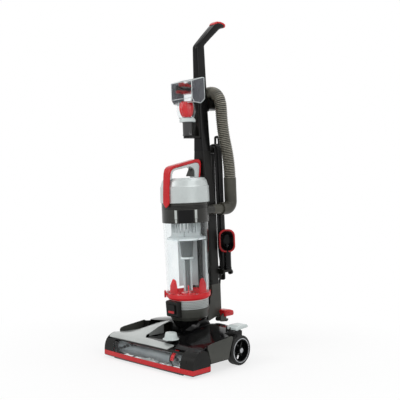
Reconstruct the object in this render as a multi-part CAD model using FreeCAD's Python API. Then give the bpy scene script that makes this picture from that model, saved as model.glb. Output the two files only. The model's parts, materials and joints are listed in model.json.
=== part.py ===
import FreeCAD, Part
import math
import os

# Upright vacuum cleaner, millimetres, +Z up, front towards -Y.
# Pieces are drawn with Y = 0 at the nozzle's front corners and Z = 0 on the floor.
# Everything on the upright is drawn standing straight up, then leaned about the motor axis.

V = FreeCAD.Vector

# ---------------------------------------------------------------- driving sizes
CLEAR = 0.3            # gap between neighbouring pieces
RUN = 0.05             # running clearance of a shaft in its bore
WALL = 2.5             # casing wall
LEAN = 3.2             # forward lean of the parked upright, degrees
PIVOT_Y = 190.0        # motor and recline axis
PIVOT_Z = 85.0

FOOT_W = 381.0         # width over the nozzle ends
HALF_W = FOOT_W / 2.0
END_IN = HALF_W - 38.5  # inner face of the walls that hold the brush roll
MOUTH_HALF = HALF_W - 44.5
NOZZLE_D = 72.0        # front corner to the nozzle's back
BOW = 6.0              # how far the nozzle's middle stands ahead of its corners
SOLE_Z = 6.0           # underside of the sole plate
SOLE_T = 3.0
SHEET_T = 2.0          # the sole plate's pressed sheet
TRIM_TOP = 22.7
CAP_W = 45.0           # width of each black end cap
FLOOR_Z = 27.0         # underside of the tray behind the nozzle
ARM_IN = 60.0          # inner face of the two rear arms
ARM_OUT = HALF_W - 29.5        # outer face of the arms beside the wheels
TRAY_OUT = HALF_W - 3.5        # outer face of the tray ahead of the wheels
SLOT_FRONT = 134.0     # front of the gap for the motor
ARCH_Y = 158.0         # where the tray steps in for the wheels

WHEEL_R = 43.75
WHEEL_W = 25.0
WHEEL_Y = ARCH_Y + 6.25 + WHEEL_R
ARM_END = ARCH_Y + 44.25 + WHEEL_R        # back of the arms
TYRE_T = 6.5
AXLE_R = 4.0
ROLLER_R = 8.0
ROLLER_W = 16.0
ROLLER_X = 85.0

BRUSH_Y = 36.0
BRUSH_Z = 32.0
BRUSH_TIP = 27.0
CORE_R = 17.0
BRUSH_HALF = HALF_W - 41.5
CHAMBER_R = 30.5
BEARING_R = 11.0
BELT_X = 84.0
BELT_W = 8.0
BELT_T = 1.8
BRUSH_PULLEY = 13.0
MOTOR_PULLEY = 6.5

BARREL_R = 42.0
BARREL_HALF = 57.0
TRUNNION_R = 15.5
DUCT_BORE = 13.3
CAN_R = 30.0
ARMATURE_R = 21.0
SHAFT_R = 4.0

BIN_Y = 186.0          # bin axis
BIN_FLOOR = 185.0
DOOR_TOP = 203.7
CUP_TOP = 421.0
CUP_R_LOW = 65.5
CUP_R_TOP = 71.0
BAND_R = 73.0
BAND_TOP = 482.0
LID_R = 76.5
LID_STEP = 531.0
LID_TOP = 557.0
SEAT_Z = 157.0         # top of the body shell
SHELL_Z = 122.0

SPINE_FRONT = 254.0
SPINE_REAR = 294.0
SPINE_SPLIT = 281.0
SPINE_LOW = 216.0
SPINE_TOP = 640.0
POLE_TOP = 962.0

HANK_OUT = 24.0
HOSE_R = 20.0
HOSE_BORE = 18.0
HOSE_SIDE = HANK_OUT + HOSE_R + 1.0  # the hose's centre line beside the wound cord
HOSE_Y = SPINE_REAR + HOSE_R + 6.0
HOSE_LIP_Y = HOSE_Y + HOSE_R + 1.0
INLET_X = 50.0
INLET_Z = 455.0
CORD_R = 3.4
HANK_LOW = 255.0
HANK_TOP = 640.0
STEM_R = 9.0
HANK_Y0 = 318.0
HANK_Y1 = 344.0

# the nozzle
NOZZLE_LINE = [(0.0, SOLE_Z), (0.2, 28.0), (3.2, 45.0), (12.5, 59.5), (26.0, 68.0), (43.0, 71.2),
               (57.5, 64.0), (66.5, 50.0), (70.5, 36.0), (NOZZLE_D, SOLE_Z)]
WINDOW_REAR = 13.0     # back edge of the clear window
BAND_FRONT = 15.0      # front edge of the silver band
WINDOW_LEFT = -MOUTH_HALF
WINDOW_RIGHT = MOUTH_HALF - 4.0
BAND_RIGHT = HALF_W - 102.5      # where the silver band gives way to the black hood

# height knob, swing frame and cam
KNOB_X = 55.0
KNOB_Y = 49.0
KNOB_SEAT = 82.0
ROD_Y = 86.0
ROD_Z = 17.0
ROD_R = 3.0
FINGER_X = 55.0
ROLLER_Y = 110.0
CAM_LOW = 66.5
CAM_RISE = 8.0
CAM_TURN = 150.0
CAM_SMALL = 10.0

# release pedal on the foot
RELEASE_X0 = HALF_W - 40.5
RELEASE_X1 = HALF_W - 5.5
RELEASE_Y = 196.0
RELEASE_Z = 106.0
PEDAL_PIN = 2.5

# motor can, riser and hose cuff
CAN_X0 = -18.0
CAN_X1 = 46.0
RISER_X = -38.0
RISER_Y = 268.0
RISER_R = 16.0
RISER_TOP = 250.0
CUFF_TOP = 284.0

# lower body and power pedal
BLOCK_HALF = 36.0
RISER_TOP_X = -(BLOCK_HALF + HOSE_R + 2.0)  # the hose cuff stands against the spine's side
POWER_Y = 291.0
POWER_Z = 114.0

# bin floor latch and carry handle
LATCH_TURN = 45.0
LATCH_R = -72.5
LATCH_Z = 201.0
HANDLE_HALF = 13.0

# spine, pole and grip: height, half width
SPINE_LEVELS = [(SPINE_LOW, 36.0), (300.0, 35.5), (421.0, 33.0), (532.0, 28.0), (600.0, 24.0),
                (SPINE_TOP, 20.5)]
POLE_LEVELS = [(SPINE_TOP, 20.5), (700.0, 17.5), (780.0, 14.5), (880.0, 12.6), (POLE_TOP, 11.0)]
GRIP_LINE = [(250.5, POLE_TOP + 3.0), (254.5, POLE_TOP + CLEAR), (293.0, POLE_TOP + CLEAR),
             (298.0, POLE_TOP + 9.0), (393.5, POLE_TOP + 74.0), (399.0, POLE_TOP + 85.0),
             (393.0, POLE_TOP + 94.0), (365.0, POLE_TOP + 100.0), (337.0, POLE_TOP + 87.0),
             (262.0, POLE_TOP + 16.0)]
GRIP_ROUND = [2, 2, 2, 10, 8, 6, 7, 14, 20, 20]
GRIP_HALF = 12.5

# hose, elbow and cord routes
HOSE_ROUTE = [(INLET_X, 346, 552), (INLET_X, 346, 606), (HOSE_SIDE + 1, HOSE_Y + 2, 706),
              (HOSE_SIDE, HOSE_Y, 828), (-HOSE_SIDE, HOSE_Y, 828),
              (-HOSE_SIDE - 1, HOSE_Y + 2, 700), (-HOSE_SIDE - 1, HOSE_Y - 4, 590),
              (RISER_TOP_X - 2, HOSE_Y - 12, 480), (RISER_TOP_X - 4, HOSE_Y - 24, 385),
              (RISER_TOP_X, 278, 319), (RISER_TOP_X, 278, CUFF_TOP)]
INLET_SPLIT = 252.0    # where the bin's inlet meets the elbow
ELBOW_ROUTE = [(INLET_X, SPINE_REAR + 1.5, INLET_Z), (INLET_X, 346, INLET_Z), (INLET_X, 346, 551.7)]
LEAD_ROUTE = [(0, 305.8, 163.5), (0, 331, 188.7), (0, 331, HANK_LOW - HANK_OUT)]
RELIEF_L = 24.0        # length of the cord's strain relief

# peg for the dusting brush
PEG_X = HANK_OUT + 20.0
PEG_Y = 326.0
PEG_R = 9.0

# turbo tool
TOOL_Y = 211.0
TOOL_Z = 687.0
TOOL_PEG_R = 12.5
ROLL_Y = 216.0
ROLL_Z = 836.0
HOOD_HALF = 45.0

# dusting brush
HEAD_Z = 350.0
HEAD_TURN = 48.0

NODES = {}


# ---------------------------------------------------------------- small helpers
def box(x0, x1, y0, y1, z0, z1):
    return Part.makeBox(x1 - x0, y1 - y0, z1 - z0, V(x0, y0, z0))


def cyl(base, axis, radius, length):
    return Part.makeCylinder(radius, length, V(*base), V(*axis))


def cone(base, axis, r0, r1, length):
    if abs(r0 - r1) < 1e-6:
        return cyl(base, axis, r0, length)
    return Part.makeCone(r0, r1, length, V(*base), V(*axis))


def ring(base, axis, outer, inner, length):
    return cyl(base, axis, outer, length).cut(cyl(base, axis, inner, length))


def join(*shapes):
    """Fuses the shapes and removes the seams between them."""
    whole = shapes[0].fuse(list(shapes[1:])) if len(shapes) > 1 else shapes[0]
    return whole.removeSplitter()


def rounded_wire(points, radius):
    """A closed wire through the corner points, each corner rounded by its radius."""
    count = len(points)
    radii = radius if isinstance(radius, (list, tuple)) else [radius] * count
    starts, ends, mids = [], [], []
    for i, corner in enumerate(points):
        before = (points[i - 1] - corner)
        after = (points[(i + 1) % count] - corner)
        a = V(before).normalize()
        b = V(after).normalize()
        half = a.getAngle(b) / 2.0
        if radii[i] <= 0 or abs(half - math.pi / 2) < 1e-4:
            starts.append(corner)
            ends.append(corner)
            mids.append(None)
            continue
        reach = radii[i] / math.tan(half)
        centre = corner + (a + b).normalize() * (radii[i] / math.sin(half))
        starts.append(corner + a * reach)
        ends.append(corner + b * reach)
        mids.append(centre + (corner - centre).normalize() * radii[i])
    edges = []
    for i in range(count):
        if mids[i] is not None:
            edges.append(Part.Arc(starts[i], mids[i], ends[i]).toShape())
        gap = starts[(i + 1) % count] - ends[i]
        if gap.Length > 1e-6:
            edges.append(Part.LineSegment(ends[i], starts[(i + 1) % count]).toShape())
    return Part.Wire(edges)


def plate(points, radius, push):
    """Extrudes a rounded outline by the vector push."""
    face = Part.Face(rounded_wire([V(*p) for p in points], radius))
    return face.extrude(V(*push))


def side_plate(points, radius, x0, x1):
    """An outline in the Y-Z plane, given as (y, z), from x0 to x1."""
    return plate([(x0, y, z) for y, z in points], radius, (x1 - x0, 0, 0))


def plan_plate(points, radius, z0, z1):
    return plate([(x, y, z0) for x, y in points], radius, (0, 0, z1 - z0))


def front_plate(points, radius, y0, y1):
    """An outline in the X-Z plane, given as (x, z), from y0 to y1."""
    return plate([(x, y0, z) for x, z in points], radius, (0, y1 - y0, 0))


def oblong(half_x, y0, y1, z0, z1, radius):
    """An upright block with rounded corner edges, centred on X = 0."""
    points = [(-half_x, y0), (half_x, y0), (half_x, y1), (-half_x, y1)]
    return plan_plate(points, radius, z0, z1)


def tower(levels, radius):
    """A smooth upright column through (z, half_x, y0, y1) levels."""
    wires = []
    for z, half_x, y0, y1 in levels:
        points = [V(-half_x, y0, z), V(half_x, y0, z), V(half_x, y1, z), V(-half_x, y1, z)]
        wires.append(rounded_wire(points, radius))
    return Part.makeLoft(wires, True, True)


def turned(points, centre, axis):
    """Revolves (radius, height) corners about a line through centre."""
    line = V(*axis)
    side = V(0, 1, 0) if abs(line.y) < 0.5 else V(1, 0, 0)
    if abs(line.z) > 0.5:
        side = V(1, 0, 0)
    start = V(*centre)
    corners = [start + side * r + line * h for r, h in points]
    face = Part.Face(Part.makePolygon(corners + [corners[0]]))
    return face.revolve(start, line, 360)


def route(points):
    """Straight runs joined by tangent arcs; returns the wire and the arc radii."""
    points = [V(*p) for p in points]
    edges, radii = [], []
    last = points[0]
    for i in range(1, len(points) - 1):
        a = points[i - 1] - points[i]
        b = points[i + 1] - points[i]
        turn = math.pi - a.getAngle(b)
        reach = 0.45 * min(a.Length, b.Length)
        bend = reach / math.tan(turn / 2.0)
        ua = V(a).normalize()
        ub = V(b).normalize()
        start = points[i] + ua * reach
        end = points[i] + ub * reach
        centre = points[i] + (ua + ub).normalize() * (bend / math.cos(turn / 2.0))
        middle = centre + (points[i] - centre).normalize() * bend
        edges.append(Part.LineSegment(last, start).toShape())
        edges.append(Part.Arc(start, middle, end).toShape())
        radii.append(bend)
        last = end
    edges.append(Part.LineSegment(last, points[-1]).toShape())
    return Part.Wire(edges), radii


def pipe(points, radius):
    """A solid round bar along a route."""
    path, radii = route(points)
    first = V(*points[0])
    heading = V(*points[1]) - first
    section = Part.Wire(Part.makeCircle(radius, first, heading))
    return path.makePipeShell([section], True, False)


def say_route(name, points, radius, bore):
    """Prints a tube's bend radii and compares its volume with section times length."""
    path, radii = route(points)
    area = math.pi * (radius ** 2 - bore ** 2)
    rounded = ", ".join("%.0f" % r for r in radii)
    print("%s: length %.0f mm, bend radii %s mm" % (name, path.Length, rounded))
    ratio = NODES[name].Volume / (area * path.Length)
    print("%s: volume / (section x length) = %.3f" % (name, ratio))


def keep(name, shape, upright=False):
    """Stores a node, leaned about the motor axis when it belongs to the upright."""
    if upright:
        shape = shape.copy()
        shape.rotate(V(0, PIVOT_Y, PIVOT_Z), V(1, 0, 0), LEAN)
    NODES[name] = shape


def mirrored(shape):
    return shape.mirror(V(0, 0, 0), V(1, 0, 0))


# ---------------------------------------------------------------- the foot


def nozzle_solid(inset):
    """The nozzle's side profile carried along its bowed front, shrunk by inset."""
    points = [V(0, y, z) for y, z in NOZZLE_LINE]
    count = len(points)
    shrunk = []
    for i, point in enumerate(points):
        before = points[max(i - 1, 0)]
        after = points[min(i + 1, count - 1)]
        along = (after - before).normalize()
        inward = V(0, along.z, -along.y)
        shrunk.append(point + inward * inset)
    shrunk[0].z = SOLE_Z + inset
    shrunk[-1].z = SOLE_Z + inset
    half = FOOT_W / 2.0 - inset
    full = FOOT_W / 2.0
    wires = []
    for share in (-1.0, -0.75, -0.5, -0.25, 0.0, 0.25, 0.5, 0.75, 1.0):
        x = half * share
        ahead = BOW * (1.0 - (x / full) ** 2)
        line = [V(x, p.y - ahead, p.z) for p in shrunk]
        top = Part.BSplineCurve()
        top.interpolate(line)
        edges = [top.toShape(), Part.LineSegment(line[-1], line[0]).toShape()]
        wires.append(Part.Wire(edges))
    return Part.makeLoft(wires, True, False)


def height_sheet(columns, rows, heights):
    """A smooth face that follows heights[column][row] as its control net."""
    net = []
    for x, line in zip(columns, heights):
        net.append([V(x, y, z) for y, z in zip(rows, line)])
    across = clamped_knots(len(columns))
    along = clamped_knots(len(rows))
    sheet = Part.BSplineSurface()
    sheet.buildFromPolesMultsKnots(net, across[0], along[0], across[1], along[1],
                                   False, False, 2, 2)
    return sheet.toShape()


def clamped_knots(count):
    """Multiplicities and knots of a clamped quadratic spline with count poles."""
    spans = count - 2
    return [3] + [1] * (spans - 1) + [3], [float(i) for i in range(spans + 1)]


def cover_sheet():
    edge = HALF_W + 9.5
    columns = [-edge, 30.0 - edge, 80.0 - edge, -56.0, 20.0, edge - 100.0]
    rows = [2.0, 12.0, 26.0, 45.0, 76.0, 120.0, 170.0]
    heights = [
        [53.0, 61.5, 70.5, 72.0, 67.0, 63.0, 62.0],
        [53.0, 61.5, 70.5, 73.0, 70.0, 68.5, 69.0],
        [53.0, 61.5, 70.8, 74.5, 78.0, 89.0, 96.0],
        [53.0, 61.5, 71.0, 75.0, 83.0, 102.0, 111.0],
        [53.0, 61.5, 71.0, 75.0, 83.0, 102.0, 111.0],
        [53.0, 61.5, 70.8, 74.5, 80.0, 96.0, 104.0],
    ]
    return height_sheet(columns, rows, heights)


def hood_sheet():
    edge = HALF_W + 9.5
    columns = [-70.0, 0.0, 60.0, 100.0, edge - 50.0, edge]
    rows = [10.0, 26.0, 45.0, 75.0, 105.0, 160.0, 210.0, 260.0]
    heights = [
        [52.0, 66.0, 73.0, 71.0, 68.0, 80.0, 90.0, 90.0],
        [52.0, 66.0, 74.0, 73.0, 70.0, 85.0, 95.0, 94.0],
        [52.0, 66.0, 75.5, 78.5, 91.0, 106.0, 109.5, 102.0],
        [52.0, 66.0, 75.0, 81.0, 94.0, 105.0, 108.0, 100.0],
        [52.0, 66.0, 74.0, 85.0, 91.0, 99.0, 102.0, 96.0],
        [52.0, 66.0, 73.0, 83.0, 87.0, 93.0, 95.0, 90.0],
    ]
    return height_sheet(columns, rows, heights)


def layer(sheet, drop, thickness):
    """A slab of the given thickness whose top lies drop below the sheet."""
    lowered = sheet.copy()
    lowered.translate(V(0, 0, -drop - thickness))
    return lowered.extrude(V(0, 0, thickness))


COVER = cover_sheet()
HOOD = hood_sheet()


def cover_plan(top):
    """Plan of the silver cover: the front band and the left branch."""
    half = TRAY_OUT
    points = [(-half, BAND_FRONT), (BAND_RIGHT - 15, BAND_FRONT - BOW + 2), (BAND_RIGHT, 33.0),
              (-46.0, 41.0), (-60.3, 58.0), (-60.3, 158.0), (67.0 - half, 158.0), (-half, 150.0)]
    return plan_plate(points, [4, 3, 3, 8, 12, 2, 6, 6], 40.0, top)


def foot_cover():
    shell = layer(COVER, 0.0, WALL).common(cover_plan(150.0))
    skirt = box(-60.3 - WALL, -60.3, 70.0, SLOT_FRONT - WALL - 2 * CLEAR, 72.0, 150.0)
    skirt = skirt.cut(layer(COVER, -100.0, 100.0))
    return join(shell, skirt)


def hood_plan():
    half = TRAY_OUT
    points = [(-57.6, SLOT_FRONT - 2.8), (-57.6, 61.0), (-45.0, 45.0), (BAND_RIGHT + 3, 36.0),
              (BAND_RIGHT + 3, 27.0), (half, 27.0), (half, ARCH_Y - 3), (ARM_OUT, ARCH_Y + 4),
              (ARM_OUT, ARM_END), (ARM_IN + 0.3, ARM_END), (ARM_IN + 0.3, SLOT_FRONT - 2.8)]
    return plan_plate(points, [1, 8, 6, 1, 2, 3, 5, 4, 10, 4, 1], 30.0, 150.0)


def rear_plan():
    points = [(ARM_IN + 0.3, 158.6), (ARM_OUT - 31.0, 158.6), (ARM_OUT, 165.0), (ARM_OUT, ARM_END),
              (ARM_IN + 0.3, ARM_END)]
    return plan_plate(points, [1, 4, 4, 10, 4], 30.0, 150.0)


def foot_hood():
    slab = layer(HOOD, 0.0, WALL)
    right = slab.common(hood_plan())
    right = right.cut(cyl((KNOB_X, KNOB_Y, 50), (0, 0, 1), 5.5, 60))
    curb = ring((KNOB_X, KNOB_Y, KNOB_SEAT - 10), (0, 0, 1), 10.0, 5.5, 10 - CLEAR)
    curb = curb.cut(layer(HOOD, 0.4, 60.0))
    ears = box(RELEASE_X0 - 6.3, RELEASE_X0 + 20, RELEASE_Y - 7.5, RELEASE_Y + 44.5, 50, 150)
    right = right.cut(ears)
    left = mirrored(slab.common(rear_plan()))
    return Part.makeCompound([join(right, curb), left])


def tray_plan(inset, z0, z1):
    """Plan of the tray: straight sides, stepped in for the wheels, open behind for the motor."""
    wide = TRAY_OUT - inset
    arm = ARM_OUT - inset
    inner = ARM_IN + inset
    points = [(-wide, 60.0), (wide, 60.0), (wide, ARCH_Y - inset), (arm, ARCH_Y + 4 - inset),
              (arm, ARM_END - inset), (inner, ARM_END - inset), (inner, SLOT_FRONT - inset),
              (-inner, SLOT_FRONT - inset), (-inner, ARM_END - inset), (-arm, ARM_END - inset),
              (-arm, ARCH_Y + 4 - inset), (-wide, ARCH_Y - inset)]
    return plan_plate(points, 0, z0, z1)


def duct_points():
    return [(-118, 52, 44), (-118, 118, 50), (-112, PIVOT_Y, PIVOT_Z), (-77, PIVOT_Y, PIVOT_Z)]


def foot_base():
    tray = tray_plan(0, FLOOR_Z, 130).cut(tray_plan(WALL, FLOOR_Z + WALL, 131))
    gap = WALL + CLEAR
    over_left = layer(COVER, gap - 80.0, 80.0)
    over_right = layer(HOOD, gap - 80.0, 80.0)
    left = box(-300, -58.9, 0, 158.3, 0, 200)
    rear = box(-300, -58.9, 158.3, 300, 0, 200)
    right = box(-58.9, 300, 0, 300, 0, 200)
    walls = join(tray.common(left).cut(over_left),
                 tray.common(rear).cut(mirrored(over_right)),
                 tray.common(right).cut(over_right))
    far = END_IN + 4.0
    chamber = ring((1.0 - far, BRUSH_Y, BRUSH_Z), (1, 0, 0), CHAMBER_R + WALL, CHAMBER_R,
                   2.0 * far - 2.0)
    chamber = chamber.cut(box(-far, far, -20, BRUSH_Y - 4, -50, 100))
    chamber = chamber.cut(box(-far, far, -20, 100, -50, 12))
    ends = side_plate([(12, 11.5), (64, 11.5), (64, 45), (48, 60), (22, 58), (12, 42)], 3,
                      END_IN, END_IN + 3.0)
    ends = join(ends, cyl((END_IN - 1.0, BRUSH_Y, BRUSH_Z), (1, 0, 0), BEARING_R + 4, 8))
    ends = ends.cut(cyl((END_IN - 2.0, BRUSH_Y, BRUSH_Z), (1, 0, 0), BEARING_R + RUN, 10))
    rear_web = box(-TRAY_OUT, TRAY_OUT, 62.5, 66.5, 11.5, FLOOR_Z + WALL)
    rear_web = rear_web.cut(cyl((-far, BRUSH_Y, BRUSH_Z), (1, 0, 0), CHAMBER_R, 2.0 * far))
    body = join(walls, chamber, ends, mirrored(ends), rear_web)
    for side in (-1, 1):
        boss = cyl((side * (ARM_OUT - 11.0), WHEEL_Y, WHEEL_R), (side, 0, 0), 9.0, 13.0)
        axle_hole = cyl((side * (ARM_OUT - 12.0), WHEEL_Y, WHEEL_R), (side, 0, 0), AXLE_R, 15.0)
        seat = ring((side * ARM_IN, PIVOT_Y, PIVOT_Z), (side, 0, 0), TRUNNION_R + 2.0,
                    TRUNNION_R + RUN, 16.0)
        post = box(side * 68 - 8, side * 68 + 8, PIVOT_Y - 8, PIVOT_Y + 8, FLOOR_Z + 1, PIVOT_Z)
        post = post.cut(cyl((side * 50, PIVOT_Y, PIVOT_Z), (side, 0, 0), TRUNNION_R + 1, 40))
        trunnion = cyl((side * 55, PIVOT_Y, PIVOT_Z), (side, 0, 0), TRUNNION_R + RUN, 16.2)
        body = join(body, boss, seat, post).cut(axle_hole)
        body = body.cut(trunnion)
        for lug_x in (42.0, 116.0):
            lug = side_plate([(ROD_Y - 6, 11), (ROD_Y + 6, 11), (ROD_Y + 8, FLOOR_Z + 1),
                              (ROD_Y - 8, FLOOR_Z + 1)], 0, side * lug_x - 2, side * lug_x + 2)
            body = join(body, lug)
    duct = pipe(duct_points(), DUCT_BORE + 2.0)
    body = join(body, duct).cut(pipe(duct_points(), DUCT_BORE))
    body = body.cut(cyl((-END_IN, BRUSH_Y, BRUSH_Z), (1, 0, 0), CHAMBER_R, 2.0 * END_IN))
    body = body.cut(box(BELT_X - BELT_W / 2 - 2, BELT_X + BELT_W / 2 + 2, 45, 82, 12, 70))
    body = body.cut(cyl((-200, ROD_Y, ROD_Z), (1, 0, 0), ROD_R + RUN, 400).common(
        box(-125, 125, 0, 200, 0, 26)))
    body = body.cut(box(FINGER_X - 6, FINGER_X + 6, 75.0, 96.0, FLOOR_Z - 1, FLOOR_Z + 4))
    body = body.cut(box(FINGER_X - 6, FINGER_X + 6, 55.0, 80.0, 60.0, 80.0))
    body = body.cut(cyl((KNOB_X, KNOB_Y, 64.5), (0, 0, 1), 30.0, 30))
    body = join(body, pedal_mount()).cut(pedal_hole())
    return body


def front_trim():
    band = nozzle_solid(0.0).cut(nozzle_solid(3.0))
    keep_zone = box(-HALF_W - 10, HALF_W + 10, -20, 80, SOLE_Z + SOLE_T + CLEAR, TRIM_TOP)
    band = band.common(keep_zone)
    inner = FOOT_W / 2.0 - 3.0
    return band.cut(box(-inner, inner, 40.0, 90.0, 0, 40))


def upper_nozzle():
    """The nozzle shell above the trim, split between window, caps and cover."""
    shell = nozzle_solid(0.0).cut(nozzle_solid(WALL))
    return shell.common(box(-HALF_W - 10, HALF_W + 10, -20, 80, TRIM_TOP + CLEAR, 90))


def window():
    pane = upper_nozzle()
    return pane.common(box(WINDOW_LEFT, WINDOW_RIGHT, -20, WINDOW_REAR - BOW, 0, 58.0))


def nozzle_caps():
    shell = upper_nozzle()
    side = FOOT_W / 2.0 - WALL
    gap = CLEAR
    middle = box(WINDOW_LEFT - gap, WINDOW_RIGHT + gap, -30, 90, 0, 58.0 + gap)
    frame = shell.cut(middle)
    frame = frame.cut(box(-side, BAND_RIGHT + 1, BAND_FRONT - BOW + 1.6, 90, 56, 90))
    frame = frame.cut(box(-side, BAND_RIGHT + 1, 20, 90, 0, 90))
    frame = frame.cut(box(BAND_RIGHT, side, 26.0, 90, 0, 90))
    frame = frame.cut(box(WINDOW_LEFT - gap, WINDOW_RIGHT + gap, 14, 90, 0, 90))
    return frame.cut(cover_plan(160.0))


def rear_fairings():
    """Side panels over the tray's flanks, from the nozzle to the wheel arches."""
    clear_r = WHEEL_R + 3.0
    outline = [(75.5, 29.5), (150.0, 29.5), (172.0, 93.5), (77.0, 84.0), (56.0, 79.0), (64.0, 66.0)]
    panel = side_plate(outline, [3, 4, 6, 4, 8, 3], TRAY_OUT + CLEAR, FOOT_W / 2.0 - 1.0)
    panel = panel.cut(cyl((ARM_OUT, WHEEL_Y, WHEEL_R), (1, 0, 0), clear_r, 50))
    panel = panel.cut(nozzle_solid(0.0).common(box(HALF_W - 10, HALF_W + 10, -20, 90, 0, 90)))
    return Part.makeCompound([panel, mirrored(panel)])


def sole_plate():
    """A pressed steel plate round the suction mouth, with glide bars across it."""
    inner = FOOT_W / 2.0 - 0.6
    top = SOLE_Z + SOLE_T
    slab = nozzle_solid(0.5).common(box(-inner, inner, -20, 90, top - SHEET_T, top))
    mouth = [(-MOUTH_HALF, 9.0), (MOUTH_HALF, 9.0), (MOUTH_HALF, 62.0), (-MOUTH_HALF, 62.0)]
    slab = slab.cut(plan_plate(mouth, 5, 0, 20))
    bars = []
    for step in (-2, -1, 0, 1, 2):
        x = step * MOUTH_HALF * 0.384
        bars.append(box(x - 2.0, x + 2.0, 7.0, 64.0, 2.2, 4.6))
    rim_front = box(-MOUTH_HALF - 2, MOUTH_HALF + 2, 4.2, 7.8, 2.2, SOLE_Z + 2.0)
    rim_back = box(-MOUTH_HALF - 2, MOUTH_HALF + 2, 63.0, 66.0, 2.2, SOLE_Z + 2.0)
    return join(slab, rim_front, rim_back, *bars)


def brush_bearings():
    bush = ring((END_IN - 0.7, BRUSH_Y, BRUSH_Z), (1, 0, 0), BEARING_R, SHAFT_R + RUN, 6.0)
    return Part.makeCompound([bush, mirrored(bush)])


def drive_belt():
    """A flat belt round the motor pulley and the brush pulley."""
    big = BRUSH_PULLEY + 0.3
    small = MOTOR_PULLEY + 0.3
    x0 = BELT_X - BELT_W / 2.0
    outer = belt_loop(big + BELT_T, small + BELT_T, x0)
    inner = belt_loop(big, small, x0)
    return outer.cut(inner)


def belt_loop(front_r, rear_r, x0):
    span = V(0, PIVOT_Y - BRUSH_Y, PIVOT_Z - BRUSH_Z)
    tilt = math.atan2(span.z, span.y)
    spread = math.acos((front_r - rear_r) / span.Length)
    corners = []
    for sign in (1, -1):
        angle = tilt + sign * spread
        out = V(0, math.cos(angle), math.sin(angle))
        corners.append((V(x0, BRUSH_Y, BRUSH_Z) + out * front_r,
                        V(x0, PIVOT_Y, PIVOT_Z) + out * rear_r))
    (top_front, top_rear), (low_front, low_rear) = corners
    ahead = V(0, math.cos(tilt), math.sin(tilt))
    nose = V(x0, BRUSH_Y, BRUSH_Z) - ahead * front_r
    tail = V(x0, PIVOT_Y, PIVOT_Z) + ahead * rear_r
    edges = [Part.Arc(low_front, nose, top_front).toShape(),
             Part.LineSegment(top_front, top_rear).toShape(),
             Part.Arc(top_rear, tail, low_rear).toShape(),
             Part.LineSegment(low_rear, low_front).toShape()]
    return Part.Face(Part.Wire(edges)).extrude(V(BELT_W, 0, 0))


def foot_fasteners():
    """Axle pins for the wheels, the pedal's pin and the cover screws."""
    solids = []
    for side in (-1, 1):
        pin = cyl((side * (ARM_OUT - 10.5), WHEEL_Y, WHEEL_R), (side, 0, 0), AXLE_R - RUN, 39.0)
        head = cyl((side * (HALF_W - 1.2), WHEEL_Y, WHEEL_R), (side, 0, 0), 7.0, 1.2)
        solids.append(join(pin, head))
    solids.append(cyl((RELEASE_X0 - 6.0, RELEASE_Y, RELEASE_Z), (1, 0, 0), PEDAL_PIN, 34.0))
    return Part.makeCompound(solids)


# ---------------------------------------------------------------- wheels, rollers, knob, pedal
def tyre(side):
    x = side * (FOOT_W / 2.0 - WHEEL_W - 0.5)
    inner = WHEEL_R - TYRE_T + 0.1
    shoulder = [(inner, 0.0), (WHEEL_R - 3.0, 0.0), (WHEEL_R, 3.0), (WHEEL_R, WHEEL_W - 3.0),
                (WHEEL_R - 3.0, WHEEL_W), (inner, WHEEL_W)]
    return turned(shoulder, (x, WHEEL_Y, WHEEL_R), (side, 0, 0))


def hub(side):
    x = side * (FOOT_W / 2.0 - WHEEL_W - 0.5)
    outer = WHEEL_R - TYRE_T
    start = (x, WHEEL_Y, WHEEL_R)
    line = (side, 0, 0)
    rim = ring(start, line, outer, outer - 4.0, WHEEL_W)
    lip = ring((x + side * (WHEEL_W - 2.0), WHEEL_Y, WHEEL_R), line, outer - 3.5, outer - 7.0, 2.0)
    web = cyl((x + side * 8.0, WHEEL_Y, WHEEL_R), line, outer - 3.0, 5.0)
    boss = cyl((x + side * 1.0, WHEEL_Y, WHEEL_R), line, 10.0, WHEEL_W - 2.0)
    wheel = join(rim, lip, web, boss)
    for i in range(6):
        angle = math.radians(60 * i + 30)
        y = WHEEL_Y + 21.5 * math.cos(angle)
        z = WHEEL_R + 21.5 * math.sin(angle)
        wheel = wheel.cut(cyl((x + side * 2.0, y, z), line, 7.0, 16.0))
        rib_angle = 60 * i
        rib = box(0, 9, 9.5, outer - 3.2, -1.8, 1.8)
        rib.translate(V(7.0, 0, 0))
        rib.rotate(V(0, 0, 0), V(1, 0, 0), rib_angle)
        if side < 0:
            rib = mirrored(rib)
        rib.translate(V(x, WHEEL_Y, WHEEL_R))
        wheel = wheel.fuse(rib)
    bore = cyl((x - side, WHEEL_Y, WHEEL_R), line, AXLE_R, WHEEL_W + 3.0)
    return wheel.removeSplitter().cut(bore)


def height_carriage():
    """The swing frame under the tray: rod, roller arms and the finger that the cam pushes."""
    rod = cyl((-121, ROD_Y, ROD_Z), (1, 0, 0), ROD_R, 242)
    parts = []
    for side in (-1, 1):
        for offset in (-12.0, 12.0):
            x = side * ROLLER_X + offset
            arm = side_plate([(ROD_Y - 6, ROD_Z - 6), (ROLLER_Y + 5, ROLLER_R - 4.5),
                              (ROLLER_Y + 5, ROLLER_R + 4.5), (ROD_Y - 6, ROD_Z + 5)], 3,
                             x - 1.5, x + 1.5)
            parts.append(arm)
        axle = cyl((side * ROLLER_X - 12, ROLLER_Y, ROLLER_R), (1, 0, 0), 2.5, 24)
        parts.append(axle)
    reach_y = KNOB_Y + CAM_SMALL + 0.9
    finger = side_plate([(ROD_Y - 4, ROD_Z - 2), (ROD_Y + 3, ROD_Z - 2), (ROD_Y + 3, 71.0),
                         (reach_y, 71.0), (reach_y, 66.0), (ROD_Y - 5, 60.0)], 0,
                        FINGER_X - 3, FINGER_X + 3)
    return join(rod, finger, *parts)


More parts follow.
